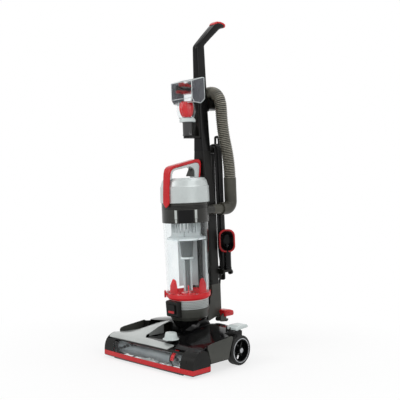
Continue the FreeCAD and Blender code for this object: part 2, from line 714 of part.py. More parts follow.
def front_rollers():
    rollers = []
    for side in (-1, 1):
        x = side * ROLLER_X - ROLLER_W / 2.0
        profile = [(2.5 + RUN, 0.0), (ROLLER_R - 1.5, 0.0), (ROLLER_R, 1.5),
                   (ROLLER_R, ROLLER_W - 1.5), (ROLLER_R - 1.5, ROLLER_W), (2.5 + RUN, ROLLER_W)]
        rollers.append(turned(profile, (x, ROLLER_Y, ROLLER_R), (1, 0, 0)))
    return Part.makeCompound(rollers)


def cam_plate():
    """A snail cam: its reach grows evenly as the knob turns."""
    points = []
    steps = 10
    for i in range(steps + 1):
        share = i / steps
        angle = math.radians(90.0 - CAM_TURN * share)
        reach = CAM_SMALL + CAM_RISE * share
        points.append(V(KNOB_X + reach * math.cos(angle), KNOB_Y + reach * math.sin(angle), 65.5))
    curve = Part.BSplineCurve()
    curve.interpolate(points)
    centre = V(KNOB_X, KNOB_Y, 65.5)
    edges = [curve.toShape(), Part.LineSegment(points[-1], centre).toShape(),
             Part.LineSegment(centre, points[0]).toShape()]
    snail = Part.Face(Part.Wire(edges)).extrude(V(0, 0, 3.0))
    return snail.fuse(cyl((KNOB_X, KNOB_Y, 65.5), (0, 0, 1), CAM_SMALL - 1.5, 3.0))


def height_knob():
    """The carpet-height knob with its shaft and cam."""
    skirt = turned([(0, 0), (26, 0), (26, 5), (21, 9), (17.5, 24), (0, 25)],
                   (KNOB_X, KNOB_Y, KNOB_SEAT), (0, 0, 1))
    grip = skirt
    for i in range(12):
        angle = math.radians(30 * i)
        groove = cyl((KNOB_X + 23.5 * math.cos(angle), KNOB_Y + 23.5 * math.sin(angle),
                      KNOB_SEAT + 9.5), (0, 0, 1), 3.2, 30)
        grip = grip.cut(groove)
    shaft = cyl((KNOB_X, KNOB_Y, 65.5), (0, 0, 1), 5.0, KNOB_SEAT - 64.5)
    return join(grip, shaft, cam_plate())


def pedal_mount():
    """Two ears on the right arm that carry the release pedal's pin."""
    ears = []
    for x in (RELEASE_X0 - 6.0, RELEASE_X0 + 8.0):
        ear = side_plate([(RELEASE_Y - 7, 92), (RELEASE_Y + 9, 92), (RELEASE_Y + 5, RELEASE_Z + 5),
                          (RELEASE_Y - 5, RELEASE_Z + 5)], [0, 0, 4, 4], x, x + 3.0)
        ears.append(ear)
    web = side_plate([(RELEASE_Y - 7, 90), (RELEASE_Y + 44, 90), (RELEASE_Y + 40, 94.5),
                      (RELEASE_Y - 7, 95)], 0, RELEASE_X0 - 6.0, RELEASE_X0 + 11.0)
    return join(web, *ears)


def pedal_hole():
    return cyl((RELEASE_X0 - 10, RELEASE_Y, RELEASE_Z), (1, 0, 0), PEDAL_PIN, 25)


def release_pedal():
    """The silver recline pedal over the right wheel."""
    tread = side_plate([(RELEASE_Y - 4, RELEASE_Z + 6.5), (RELEASE_Y + 46, RELEASE_Z + 8.5),
                        (RELEASE_Y + 50, RELEASE_Z + 5), (RELEASE_Y + 44, RELEASE_Z + 0.5),
                        (RELEASE_Y + 8, RELEASE_Z - 1.5), (RELEASE_Y + 4, RELEASE_Z - 4),
                        (RELEASE_Y - 4, RELEASE_Z - 4)], [3, 4, 3, 2, 2, 2, 3],
                       RELEASE_X0 + 11.5, RELEASE_X1)
    top = side_plate([(RELEASE_Y + 10, RELEASE_Z + 7.1), (RELEASE_Y + 46, RELEASE_Z + 8.5),
                      (RELEASE_Y + 46, RELEASE_Z + 2), (RELEASE_Y + 10, RELEASE_Z + 1)], 1,
                     RELEASE_X0 - 4.0, RELEASE_X0 + 12.0)
    bore = cyl((RELEASE_X0, RELEASE_Y, RELEASE_Z), (1, 0, 0), PEDAL_PIN + RUN, 60)
    return join(tread, top).cut(bore)


# ---------------------------------------------------------------- brush roll and motor
def brush_core():
    """The brush roll with its belt groove and stub shafts."""
    start = (-BRUSH_HALF, BRUSH_Y, BRUSH_Z)
    roll = cyl(start, (1, 0, 0), CORE_R, 2 * BRUSH_HALF)
    groove = ring((BELT_X - BELT_W / 2 - 1.5, BRUSH_Y, BRUSH_Z), (1, 0, 0), CORE_R + 1,
                  BRUSH_PULLEY, BELT_W + 3.0)
    stub = cyl((-BRUSH_HALF - 9, BRUSH_Y, BRUSH_Z), (1, 0, 0), SHAFT_R, 2 * BRUSH_HALF + 18)
    return join(roll.cut(groove), stub)


def brush_tufts():
    """Rows of bristle tufts in two opposed spirals, left out at the belt groove."""
    tufts = []
    count = 22
    for start in (0.0, 180.0):
        for i in range(count):
            x = -BRUSH_HALF + 7.0 + i * (2 * BRUSH_HALF - 14.0) / (count - 1)
            if abs(x - BELT_X) < BELT_W / 2 + 5.5:
                continue
            angle = math.radians(start + 35.0 + abs(x) * 1.1)
            line = (0, math.cos(angle), math.sin(angle))
            foot = (x, BRUSH_Y + line[1] * CORE_R, BRUSH_Z + line[2] * CORE_R)
            tufts.append(cyl(foot, line, 3.2, BRUSH_TIP - CORE_R))
    core = cyl((-HALF_W, BRUSH_Y, BRUSH_Z), (1, 0, 0), CORE_R + 0.02, FOOT_W)
    return Part.makeCompound([t.cut(core) for t in tufts])


def motor_rotor():
    shaft = cyl((CAN_X0 - 3, PIVOT_Y, PIVOT_Z), (1, 0, 0), SHAFT_R, 92.0 - CAN_X0)
    stack = cyl((CAN_X0 + 10, PIVOT_Y, PIVOT_Z), (1, 0, 0), ARMATURE_R, 40.0)
    x0 = BELT_X - BELT_W / 2 - 1.0
    pulley = cyl((x0, PIVOT_Y, PIVOT_Z), (1, 0, 0), MOTOR_PULLEY, BELT_W + 2.0)
    flange = cyl((x0 + BELT_W + 2.0, PIVOT_Y, PIVOT_Z), (1, 0, 0), MOTOR_PULLEY + 2.0, 1.5)
    return join(shaft, stack, pulley, flange)


def motor_can():
    """The motor's steel case with its field core round the armature."""
    start = (CAN_X0, PIVOT_Y, PIVOT_Z)
    can = cyl(start, (1, 0, 0), CAN_R, CAN_X1 - CAN_X0)
    hollow = cyl((CAN_X0 + 2.5, PIVOT_Y, PIVOT_Z), (1, 0, 0), CAN_R - 2.5, CAN_X1 - CAN_X0 - 5.0)
    bore = cyl((CAN_X0 - 5, PIVOT_Y, PIVOT_Z), (1, 0, 0), SHAFT_R + RUN, 90)
    core = ring((CAN_X0 + 10, PIVOT_Y, PIVOT_Z), (1, 0, 0), CAN_R - 1.0, ARMATURE_R + 0.8, 40.0)
    return join(can.cut(hollow), core).cut(bore)


def motor_housing():
    """The glossy bulb round the motor, with its trunnions and the neck under the body."""
    half = BARREL_HALF
    outer = [(0, -half), (30, -half), (37, -half + 4), (BARREL_R, -half + 18), (BARREL_R, half - 18),
             (37, half - 4), (30, half), (0, half)]
    barrel = turned(outer, (0, PIVOT_Y, PIVOT_Z), (1, 0, 0))
    neck = cone((0, BIN_Y, PIVOT_Z), (0, 0, 1), 38.0, 56.0, SHELL_Z - CLEAR - PIVOT_Z)
    body = join(barrel, neck)
    inner = BARREL_R - 4.0
    hollow = cyl((-half + 14, PIVOT_Y, PIVOT_Z), (1, 0, 0), inner, 2 * half - 22)
    body = body.cut(hollow)
    for x in (CAN_X0 + 6, CAN_X1 - 10):
        rib = ring((x, PIVOT_Y, PIVOT_Z), (1, 0, 0), inner + 1, CAN_R + CLEAR, 3.0)
        body = body.fuse(rib)
    for side in (-1, 1):
        stub = cyl((side * (half - 1), PIVOT_Y, PIVOT_Z), (side, 0, 0), TRUNNION_R, 76.0 - half)
        body = body.fuse(stub)
    body = body.cut(cyl((half - 9, PIVOT_Y, PIVOT_Z), (1, 0, 0), 8.0, 40))
    body = body.cut(cyl((-half + 15, PIVOT_Y, PIVOT_Z), (-1, 0, 0), DUCT_BORE, 50))
    socket_y = PIVOT_Y + 30
    body = body.cut(cyl((RISER_X, socket_y, PIVOT_Z), (0, 1, 0), RISER_R + CLEAR, 40))
    return body.removeSplitter()


def suction_riser():
    points = [(RISER_X, 223, PIVOT_Z), (RISER_X, RISER_Y, PIVOT_Z), (RISER_X, RISER_Y, 140),
              (RISER_TOP_X, 278, 200), (RISER_TOP_X, 278, RISER_TOP)]
    return pipe(points, RISER_R).cut(pipe(points, RISER_R - 2.5))


# ---------------------------------------------------------------- lower body


def body_shell():
    """The dark shell under the bin, with the block that carries the spine."""
    cup = turned([(0, SHELL_Z), (56, SHELL_Z), (62, 132), (64, 150), (64, SEAT_Z), (61, SEAT_Z),
                  (61, 150), (59, 133), (54, SHELL_Z + 3), (0, SHELL_Z + 3)],
                 (0, BIN_Y, 0), (0, 0, 1))
    outline = [(234, 104), (297, 118), (297, SPINE_LOW - CLEAR), (256.5, SPINE_LOW - CLEAR),
               (256.5, 190), (240, 165), (234, 140)]
    block = side_plate(outline, [4, 10, 2, 1, 6, 8, 4], -BLOCK_HALF, BLOCK_HALF)
    inside = side_plate([(244, 114), (294, 126), (294, SPINE_LOW + 5), (259.5, SPINE_LOW + 5),
                         (259.5, 188), (247, 166), (244, 140)], 2, -BLOCK_HALF + 3, BLOCK_HALF - 3)
    block = block.cut(inside)
    block = block.cut(cyl((0, BIN_Y, 90), (0, 0, 1), 60.0, 60).common(box(-99, 99, 0, 300, 125, 157)))
    block = block.cut(cyl((0, BIN_Y, SEAT_Z), (0, 0, 1), 69.5, 60))
    riser_room = [(RISER_X, 223, PIVOT_Z), (RISER_X, RISER_Y, PIVOT_Z), (RISER_X, RISER_Y, 140),
                  (RISER_TOP_X, 278, 200), (RISER_TOP_X, 278, RISER_TOP)]
    shell = join(cup, block)
    shell = shell.cut(pipe(riser_room, RISER_R + CLEAR + 0.2))
    shell = shell.cut(cyl((-60, PIVOT_Y, PIVOT_Z), (1, 0, 0), BARREL_R + 0.4, 120))
    shell = shell.cut(cone((0, BIN_Y, PIVOT_Z), (0, 0, 1), 38.5, 56.5, SHELL_Z - PIVOT_Z))
    ear = side_plate([(272, 98), (298, 94), (299, 116), (294, 121), (284, 121), (272, 112)],
                     [3, 6, 4, 4, 4, 3], 35.0, 39.3)
    far_ear = ear.copy()
    far_ear.translate(V(15.4, 0, 0))
    tie = box(30.0, 54.0, 274.0, 284.0, 99.0, 109.0)
    ears = join(ear, far_ear, tie)
    ears = ears.cut(cyl((20, POWER_Y, POWER_Z), (1, 0, 0), PEDAL_PIN + RUN, 50))
    shell = join(shell, ears)
    rear_hole = cyl((0, 306.0, 163.7), (0, -1, -1), 7.8, 36)
    return shell.cut(rear_hole)


def power_pedal():
    """The red power pedal behind the body, on its own pin between two ears."""
    tread = side_plate([(286, 112), (300, 111.5), (333, 111.0), (336, 114), (333, 119), (300, 121),
                        (286, 120)], [3, 6, 2, 2, 3, 6, 3], 39.8, 49.9)
    wide = side_plate([(299, 113.5), (333, 112.0), (336, 114.5), (333, 119), (300, 121)], 2,
                      24.0, 62.0)
    pin = cyl((36.5, POWER_Y, POWER_Z), (1, 0, 0), PEDAL_PIN, 17.0)
    return join(tread, wide, pin)


def exhaust_grille():
    """The perforated silver ring on which the bin stands."""
    tube = ring((0, BIN_Y, SEAT_Z + CLEAR), (0, 0, 1), 62.5, 60.0, BIN_FLOOR - SEAT_Z - 2 * CLEAR)
    floor = cyl((0, BIN_Y, BIN_FLOOR - CLEAR - 2.5), (0, 0, 1), 62.5, 2.5)
    slots = []
    for i in range(36):
        slot = box(55, 70, -1.2, 1.2, SEAT_Z + 6, BIN_FLOOR - 8)
        slot.rotate(V(0, 0, 0), V(0, 0, 1), 10 * i)
        slot.translate(V(0, BIN_Y, 0))
        slots.append(slot)
    return join(tube, floor).cut(Part.makeCompound(slots))


def front_badge():
    """The plain pod at the front of the body, with a raised panel."""
    pod = side_plate([(112.5, 136), (140, 130), (140, 184), (109.5, 184)], [6, 3, 3, 5], -25, 25)
    pod = pod.cut(cyl((0, BIN_Y, 100), (0, 0, 1), 64.3, 100))
    panel = side_plate([(108.0, 146), (114, 146), (112, 174), (106.3, 174)], 1, -15, 15)
    return join(pod, panel)


def door_latch():
    """The red tab at the left front of the bin's floor."""
    tab = box(-9.0, 9.0, -75.5, -69.6, 189.0, 209.0)
    pin = cyl((-11.8, LATCH_R, LATCH_Z), (1, 0, 0), 1.5, 23.6)
    latch = join(tab, pin)
    latch.rotate(V(0, 0, 0), V(0, 0, 1), -LATCH_TURN)
    latch.translate(V(0, BIN_Y, 0))
    return latch


# ---------------------------------------------------------------- bin
def bin_cup():
    low = 204.0
    outer = cone((0, BIN_Y, low), (0, 0, 1), CUP_R_LOW, CUP_R_TOP, CUP_TOP - CLEAR - low)
    inner = cone((0, BIN_Y, low - 1), (0, 0, 1), CUP_R_LOW - WALL, CUP_R_TOP - WALL,
                 CUP_TOP - low + 2)
    return outer.cut(inner)


def bin_band():
    """The black ring with the tangential inlet."""
    tube = ring((0, BIN_Y, CUP_TOP), (0, 0, 1), BAND_R, BAND_R - 3.0, BAND_TOP - CUP_TOP)
    lip = ring((0, BIN_Y, BAND_TOP - 3.0), (0, 0, 1), BAND_R - 1.0, 50.0, 3.0)
    length = INLET_SPLIT - BIN_Y
    inlet = cyl((INLET_X, BIN_Y, INLET_Z), (0, 1, 0), 15.5, length)
    bore = cyl((INLET_X, BIN_Y - 30, INLET_Z), (0, 1, 0), 13.3, length + 40)
    body = join(tube, lip, inlet.cut(cyl((0, BIN_Y, 400), (0, 0, 1), BAND_R - 3.0, 100)))
    body = body.cut(bore.common(box(0, 99, BIN_Y + 20, 300, 400, 500)))
    shelf = ring((0, BIN_Y, CUP_TOP), (0, 0, 1), BAND_R - 1.0, BAND_R - 4.5, 2.5)
    return join(body, shelf)


def cyclone_shroud():
    """The ribbed, slotted shroud that hangs from the band's lip."""
    top = BAND_TOP - 3.0 - CLEAR
    tube = ring((0, BIN_Y, 380.0), (0, 0, 1), 46.0, 43.5, top - 380.0)
    flange = ring((0, BIN_Y, top - 2.5), (0, 0, 1), 56.0, 43.5, 2.5)
    skirt = turned([(43.5, 376.0), (54.0, 370.0), (54.0, 374.0), (46.0, 381.0), (43.5, 381.0)],
                   (0, BIN_Y, 0), (0, 0, 1))
    slots = []
    for i in range(24):
        slot = box(40, 50, -1.5, 1.5, 390, 440)
        slot.rotate(V(0, 0, 0), V(0, 0, 1), 15 * i + 7.5)
        slot.translate(V(0, BIN_Y, 0))
        slots.append(slot)
    return join(tube, flange, skirt).cut(Part.makeCompound(slots))


def cyclone_cone():
    """The ribbed cone and dust tube under the shroud."""
    shell = turned([(43.0, 375.4), (33.0, 330.0), (20.0, 300.0), (18.0, 240.0), (15.5, 240.0),
                    (17.5, 301.0), (30.5, 331.5), (40.5, 375.4)], (0, BIN_Y, 0), (0, 0, 1))
    flange = ring((0, BIN_Y, 372.9), (0, 0, 1), 43.2, 39.5, 2.5)
    ribs = []
    for i in range(12):
        rib = box(17.0, 21.0, -1.0, 1.0, 245, 298)
        rib.rotate(V(0, 0, 0), V(0, 0, 1), 30 * i)
        rib.translate(V(0, BIN_Y, 0))
        ribs.append(rib)
    tube = cone((0, BIN_Y, 206.0), (0, 0, 1), 21.0, 18.0, 34.0)
    tube = tube.cut(cone((0, BIN_Y, 205.0), (0, 0, 1), 18.8, 15.4, 36.5))
    return join(shell, flange, tube, *ribs)


def bin_door():
    """The red floor of the bin with its rim and upright fins."""
    disc = cyl((0, BIN_Y, BIN_FLOOR), (0, 0, 1), 62.0, 4.0)
    rim = turned([(58.0, BIN_FLOOR), (66.5, BIN_FLOOR + 3), (69.0, 192.0), (69.0, DOOR_TOP),
                  (62.0, DOOR_TOP), (60.0, 194.0), (58.0, 189.0)], (0, BIN_Y, 0), (0, 0, 1))
    seat = cone((0, BIN_Y, 188.0), (0, 0, 1), 24.0, 21.5, 12.0)
    fins = []
    for i in range(4):
        fin = side_plate([(30, 188), (58, 188), (55, 222), (46, 234), (36, 224)], [0, 0, 6, 8, 8],
                         -2.0, 2.0)
        fin.rotate(V(0, 0, 0), V(0, 0, 1), 90 * i + 45)
        fin.translate(V(0, BIN_Y, 0))
        fins.append(fin)
    hinge = box(-14, 14, 66.0, 70.5, 193.0, DOOR_TOP)
    hinge.translate(V(0, BIN_Y, 0))
    fins.append(hinge)
    for x in (-12.0, 9.4):
        ear = box(x, x + 2.6, -75.3, -66.0, 197.0, DOOR_TOP)
        ear = ear.cut(cyl((x - 1, LATCH_R, LATCH_Z), (1, 0, 0), 1.5 + RUN, 5))
        ear.rotate(V(0, 0, 0), V(0, 0, 1), -LATCH_TURN)
        ear.translate(V(0, BIN_Y, 0))
        fins.append(ear)
    return join(disc, rim, seat, *fins)


def bin_lid():
    """The silver lid, hollow underneath for the filter."""
    outer = turned([(0, BAND_TOP + CLEAR), (LID_R - 1, BAND_TOP + CLEAR), (LID_R, BAND_TOP + 2),
                    (LID_R - 1, LID_STEP), (LID_R - 3, LID_STEP + 2), (LID_R - 7, LID_TOP - 9),
                    (LID_R - 14, LID_TOP), (0, LID_TOP)], (0, BIN_Y, 0), (0, 0, 1))
    inner = turned([(0, BAND_TOP - 1), (LID_R - 4, BAND_TOP - 1), (LID_R - 5, LID_STEP),
                    (LID_R - 11, LID_TOP - 11), (LID_R - 17, LID_TOP - 4), (0, LID_TOP - 4)],
                   (0, BIN_Y, 0), (0, 0, 1))
    return outer.cut(inner)


def bin_filter():
    puck = turned([(0, BAND_TOP + 0.6), (66, BAND_TOP + 0.6), (66, LID_STEP - 8), (60, LID_STEP - 2),
                   (60, LID_TOP - 14), (57, LID_TOP - 4.4), (0, LID_TOP - 4.4)],
                  (0, BIN_Y, 0), (0, 0, 1))
    return puck


def carry_handle():
    """The red loop over the lid with its grey inner face and rear post."""
    outer = [(102.5, 470), (106.5, 530), (115.0, 590), (119.0, 600), (222.0, 616), (243.0, 615),
             (252.0, 604), (244.0, 552.0), (232.0, 540.0), (170.0, 540.0), (118.0, 540.0),
             (116.0, 466)]
    loop = side_plate(outer, [2, 20, 20, 10, 30, 9, 9, 1, 1, 1, 1, 3], -HANDLE_HALF, HANDLE_HALF)
    window_line = [(122.0, 500), (121.0, 540), (129.0, 587), (213.0, 601.0), (223.0, 596),
                   (219.0, 500)]
    loop = loop.cut(side_plate(window_line, [0, 10, 8, 6, 8, 0], -20, 20))
    lid_room = turned([(0, 400), (LID_R + CLEAR, 400), (LID_R + CLEAR, LID_STEP + 1),
                       (LID_R - 3 + CLEAR, LID_STEP + 2.5), (LID_R - 7 + CLEAR, LID_TOP - 8.8),
                       (LID_R - 13.8 + CLEAR, LID_TOP + CLEAR), (0, LID_TOP + CLEAR)],
                      (0, BIN_Y, 0), (0, 0, 1))
    loop = loop.cut(lid_room)
    button = box(-9.3, 9.3, 190, 221.6, 550.0, 590.0)
    return loop.cut(button)


def bin_latch():
    """The dark button at the foot of the handle's rear post."""
    return side_plate([(203, LID_TOP + 4.5), (221.3, LID_TOP + 4.5), (221.3, 586.0), (217.5, 586.0)],
                      [2, 1, 1, 1], -9.0, 9.0)


# ---------------------------------------------------------------- spine, pole and grip


def column(levels, front, rear, inset, radius):
    rows = [(z, half - inset, front + inset, rear - inset) for z, half in levels]
    return tower(rows, radius)


def spine_body():
    return column(SPINE_LEVELS, SPINE_FRONT, SPINE_REAR, 0.0, 7.0)


def bin_room():
    """Space kept clear for the bin and its lid."""
    lower = cyl((0, BIN_Y, 150), (0, 0, 1), BAND_R + 1.5, CUP_TOP + 30 - 150)
    upper = cyl((0, BIN_Y, CUP_TOP + 30), (0, 0, 1), LID_R + 1.0, LID_TOP + 6 - CUP_TOP - 30)
    return join(lower, upper)


def spine_shell():
    solid = spine_body().cut(box(-60, 60, SPINE_SPLIT, 400, 100, 800))
    solid = solid.cut(bin_room())
    hollow = column(SPINE_LEVELS, SPINE_FRONT, SPINE_REAR, 3.0, 5.0)
    hollow = hollow.cut(cyl((0, BIN_Y, 150), (0, 0, 1), LID_R + 4.0, LID_TOP + 10 - 150))
    hollow = hollow.common(box(-60, 60, 0, 400, SPINE_LOW + 3, SPINE_TOP - 3))
    return solid.cut(hollow)


def spine_cover():
    solid = spine_body().common(box(-60, 60, SPINE_SPLIT + CLEAR, 400, 100, 800))
    hollow = column(SPINE_LEVELS, SPINE_FRONT, SPINE_REAR, 3.0, 5.0)
    hollow = hollow.common(box(-60, 60, 0, 400, SPINE_LOW + 3, SPINE_TOP - 3))
    return solid.cut(hollow)


def pole_column(inset, radius):
    rows = []
    for z, half in POLE_LEVELS:
        share = (z - SPINE_TOP) / (POLE_TOP - SPINE_TOP)
        rows.append((z + (CLEAR if share == 0 else 0), half - inset,
                     SPINE_FRONT + 1.0 * share + inset, SPINE_REAR - 1.0 * share - inset))
    return tower(rows, radius)


def handle_pole():
    """A hollow, tapering column, open at both ends."""
    return pole_column(0.0, 6.0).cut(pole_column(WALL, 6.0 - WALL))


def grip_solid():
    return side_plate(GRIP_LINE, GRIP_ROUND, -GRIP_HALF, GRIP_HALF)


def grip_hollow():
    line = rounded_wire([V(WALL - GRIP_HALF, y, z) for y, z in GRIP_LINE], GRIP_ROUND)
    face = Part.Face(line.makeOffset2D(-WALL))
    return face.extrude(V(2 * (GRIP_HALF - WALL), 0, 0))


def cap_cut():
    low = POLE_TOP + 38.0
    return side_plate([(381, low), (450, low), (450, low + 100), (381, low + 100)], 0, -50, 50)


def grip():
    joint = box(-50, 50, 380.7, 382, POLE_TOP + 38.0, POLE_TOP + 138.0)
    return grip_solid().cut(cap_cut().fuse(joint)).cut(grip_hollow())


def grip_cap():
    return grip_solid().common(cap_cut())


# ---------------------------------------------------------------- hose and cord


def hose():
    return pipe(HOSE_ROUTE, HOSE_R).cut(pipe(HOSE_ROUTE, HOSE_BORE))


def inlet_elbow():
    bend = pipe(ELBOW_ROUTE, HOSE_R).cut(pipe(ELBOW_ROUTE, HOSE_BORE))
    tube = ring((INLET_X, INLET_SPLIT + CLEAR, INLET_Z), (0, 1, 0), 15.5, 13.3, 45.0)
    tube = tube.cut(pipe(ELBOW_ROUTE, HOSE_R - 1.0)).fuse(
        ring((INLET_X, SPINE_REAR + 0.6, INLET_Z), (0, 1, 0), HOSE_R, 13.3, 2.5))
    foot = box(31.7, 37.0, 262.0, 286.0, INLET_Z - 9, INLET_Z + 9)
    foot = foot.cut(cyl((INLET_X, 200, INLET_Z), (0, 1, 0), 14.5, 200))
    foot = foot.cut(spine_body())
    slack = spine_body()
    slack.translate(V(CLEAR, 0, 0))
    return join(bend, tube, foot.cut(slack))


def hose_cuff():
    cuff = ring((RISER_TOP_X, 278, RISER_TOP + CLEAR), (0, 0, 1), HOSE_R + 2.0, RISER_R - 2.5,
                CUFF_TOP - RISER_TOP - 2 * CLEAR)
    return cuff


def hose_hook():
    """A saddle behind the pole that holds up the hose's arch."""
    top = 828.0 - HOSE_R - CLEAR
    half = HOSE_SIDE - HOSE_R - 1.0
    within = half - 6.0
    saddle = front_plate([(-half, 772), (half, 772), (half, top), (-half, top)], [10, 10, 19, 19],
                         SPINE_REAR + 0.5, HOSE_LIP_Y + 1.0)
    room = front_plate([(-within, 778), (within, 778), (within, top - 6), (-within, top - 6)],
                       [6, 6, 13, 13], SPINE_REAR + 3, HOSE_LIP_Y + 4.0)
    lip = front_plate([(-15, 772), (15, 772), (12, 838), (-12, 838)], [6, 6, 10, 10],
                      HOSE_LIP_Y, HOSE_LIP_Y + 5.0)
    lip_hole = front_plate([(-8, 782), (8, 782), (5, 800), (-5, 800)], 2, HOSE_LIP_Y - 1.0,
                           HOSE_LIP_Y + 6.0)
    back = front_plate([(-14, 766), (14, 766), (13, 800), (-13, 800)], 4, SPINE_REAR - 0.3, 298.0)
    hook = join(saddle.cut(room), lip.cut(lip_hole), back)
    return hook.cut(pole_column(0.0, 6.0))


def stem_block(z, y1, radius):
    return cyl((0, SPINE_REAR + CLEAR, z), (0, 1, 0), radius, y1 - SPINE_REAR - CLEAR)


def cord_hook_lower():
    """The fixed lower cord hook, with the peg for the dusting brush beside it."""
    base = front_plate([(-16, 236), (16, 236), (16, 284), (-16, 284)], 6, SPINE_REAR + CLEAR, 299.0)
    stem = stem_block(HANK_LOW, HANK_Y1 + 3.0, STEM_R)
    finger = front_plate([(-13, 216), (13, 216), (13, 263), (-13, 263)], [8, 8, 10, 10],
                         HANK_Y1 + CLEAR, HANK_Y1 + 5.0)
    arm = box(12.0, PEG_X + 7, SPINE_REAR + CLEAR + 1, 301.0, 246.0, 262.0)
    shelf = box(PEG_X - 9, PEG_X + 9, 296.0, PEG_Y + 10, 250.0, 258.0)
    peg = cyl((PEG_X, PEG_Y, 251.0), (0, 0, 1), PEG_R, 36.0)
    knob = cyl((PEG_X, PEG_Y + 9, 247.0), (0, 1, 0), 8.0, 8.0)
    return join(base, stem, finger, arm, shelf, peg, knob)


def cord_hook_upper():
    """The upper hook that swivels to let the cord drop off."""
    stem = stem_block(HANK_TOP, HANK_Y1 + 3.0, STEM_R)
    finger = front_plate([(-12, 631), (12, 631), (10, 690), (-10, 690)], [9, 9, 8, 8],
                         HANK_Y1 + CLEAR, HANK_Y1 + 5.0)
    eye = front_plate([(-5, 664), (5, 664), (4, 682), (-4, 682)], 2, HANK_Y1 - 1, HANK_Y1 + 6.0)
    return join(stem, finger.cut(eye))


def strain_relief():
    """A tapered sleeve with a collar against the shell; the lead leaves its thin end."""
    line = V(0, 1, 1).normalize()
    end = V(*LEAD_ROUTE[0])
    start = end - line * RELIEF_L
    sleeve = cone(tuple(start), tuple(line), 6.4, 4.6, RELIEF_L)
    collar = cone(tuple(start + line * 8.6), tuple(line), 7.5, 6.4, 4.0)
    bore = cyl(tuple(start - line), tuple(line), CORD_R - 1.2, RELIEF_L + 2.0)
    return join(sleeve, collar).cut(bore)


def power_lead():
    return pipe(LEAD_ROUTE, CORD_R)


def cord_hank():
    """The wound cord as one closed ring of its outer shape."""
    out = HANK_OUT
    hole = STEM_R + CLEAR
    outer = front_plate([(-out, HANK_LOW - out), (out, HANK_LOW - out), (out, HANK_TOP + out),
                         (-out, HANK_TOP + out)], out - 0.01, HANK_Y0, HANK_Y1)
    inner = front_plate([(-hole, HANK_LOW - hole), (hole, HANK_LOW - hole),
                         (hole, HANK_TOP + hole), (-hole, HANK_TOP + hole)], hole - 0.01,
                        HANK_Y0 - 1, HANK_Y1 + 1)
    return outer.cut(inner)


def power_plug():
    y0 = HANK_Y1 + CLEAR
    body = tower([(430, 9.0, y0, y0 + 16), (452, 11.0, y0, y0 + 18), (466, 11.0, y0, y0 + 18)], 4.0)
    for x in (-6.3, 6.3):
        pin = box(x - 0.8, x + 0.8, y0 + 6, y0 + 12, 465.0, 482.0)
        body = body.fuse(pin)
    tail = cone((0, y0 + 7, 418), (0, 0, 1), 4.6, 6.5, 13.0)
    return body.fuse(tail).removeSplitter()


# ---------------------------------------------------------------- tools carried on the machine


def tool_bracket():
    """Plate on the pole's front with the shelf and peg that carry the turbo tool."""
    back = front_plate([(-14, 680), (14, 680), (11, 862), (-11, 862)], 4, 247.0,
                       SPINE_FRONT - CLEAR)
    shelf = plan_plate([(-14, TOOL_Y - 12), (14, TOOL_Y - 12), (14, 249), (-14, 249)],
                       [10, 10, 1, 1], TOOL_Z - 7.0, TOOL_Z)
    peg = cyl((0, TOOL_Y, TOOL_Z - 1), (0, 0, 1), TOOL_PEG_R, 32.0)
    brace = side_plate([(232, TOOL_Z - 1), (248, TOOL_Z - 1), (248, TOOL_Z + 40)], 0, -4, 4)
    return join(back, shelf, peg, brace)


def tool_neck():
    neck = ring((0, TOOL_Y, TOOL_Z + CLEAR), (0, 0, 1), 16.5, TOOL_PEG_R + 0.4, 43.0)
    collar = turned([(14.0, TOOL_Z + 42.5), (25.0, TOOL_Z + 43.5), (25.0, TOOL_Z + 52.0),
                     (23.0, TOOL_Z + 54.5), (14.0, TOOL_Z + 54.5)], (0, TOOL_Y, 0), (0, 0, 1))
    return join(neck, collar)


def tool_housing():
    """The clear turbo-brush head: a bulb over the collar and a wide hood."""
    low = TOOL_Z + 54.5 + CLEAR
    bulb = turned([(14.0, low), (24.0, low), (29.5, low + 14), (30.0, low + 32), (26.0, low + 50),
                   (23.0, low + 50), (27.3, low + 32), (27.0, low + 15), (22.0, low + 2.5),
                   (14.0, low + 2.5)], (0, TOOL_Y - 3, 0), (0, 0, 1))
    outline = [(189, 800), (198, 788), (228, 786), (246.3, 800), (246.3, 866), (238, 866),
               (189, 852)]
    hood = side_plate(outline, [10, 8, 10, 12, 2, 2, 3], -HOOD_HALF, HOOD_HALF)
    hollow = side_plate([(191.5, 801), (199, 790.5), (227, 788.5), (243.8, 801), (243.8, 880),
                         (191.5, 880)], [8, 6, 8, 10, 0, 0], -HOOD_HALF + 2.5, HOOD_HALF - 2.5)
    hood = hood.cut(hollow)
    hood = hood.cut(cyl((0, TOOL_Y - 3, 780), (0, 0, 1), 23.0, 12))
    hood = hood.cut(box(-12, 12, 242, 250, 780, 870))
    bulb = bulb.cut(hollow)
    for side in (-1, 1):
        boss = cyl((side * (HOOD_HALF - 2), ROLL_Y, ROLL_Z), (-side, 0, 0), 6.0, 4.0)
        hood = hood.fuse(boss)
    hood = hood.cut(cyl((-HOOD_HALF + 1.2, ROLL_Y, ROLL_Z), (1, 0, 0), 2.5 + RUN,
                        2 * HOOD_HALF - 2.4))
    return join(hood, bulb)


def tool_brush():
    """The small brush roll in the turbo head."""
    half = HOOD_HALF - 6.6
    roll = cyl((-half, ROLL_Y, ROLL_Z), (1, 0, 0), 12.0, 2 * half)
    axle = cyl((-half - 5, ROLL_Y, ROLL_Z), (1, 0, 0), 2.5, 2 * half + 10)
    rows = []
    for i in range(6):
        angle = 60.0 * i + 15.0
        row = box(-half + 2, half - 2, 11.0, 22.0, -1.8, 1.8)
        row.rotate(V(0, 0, 0), V(1, 0, 0), angle)
        row.translate(V(0, ROLL_Y, ROLL_Z))
        rows.append(row)
    return join(roll, axle, *rows)


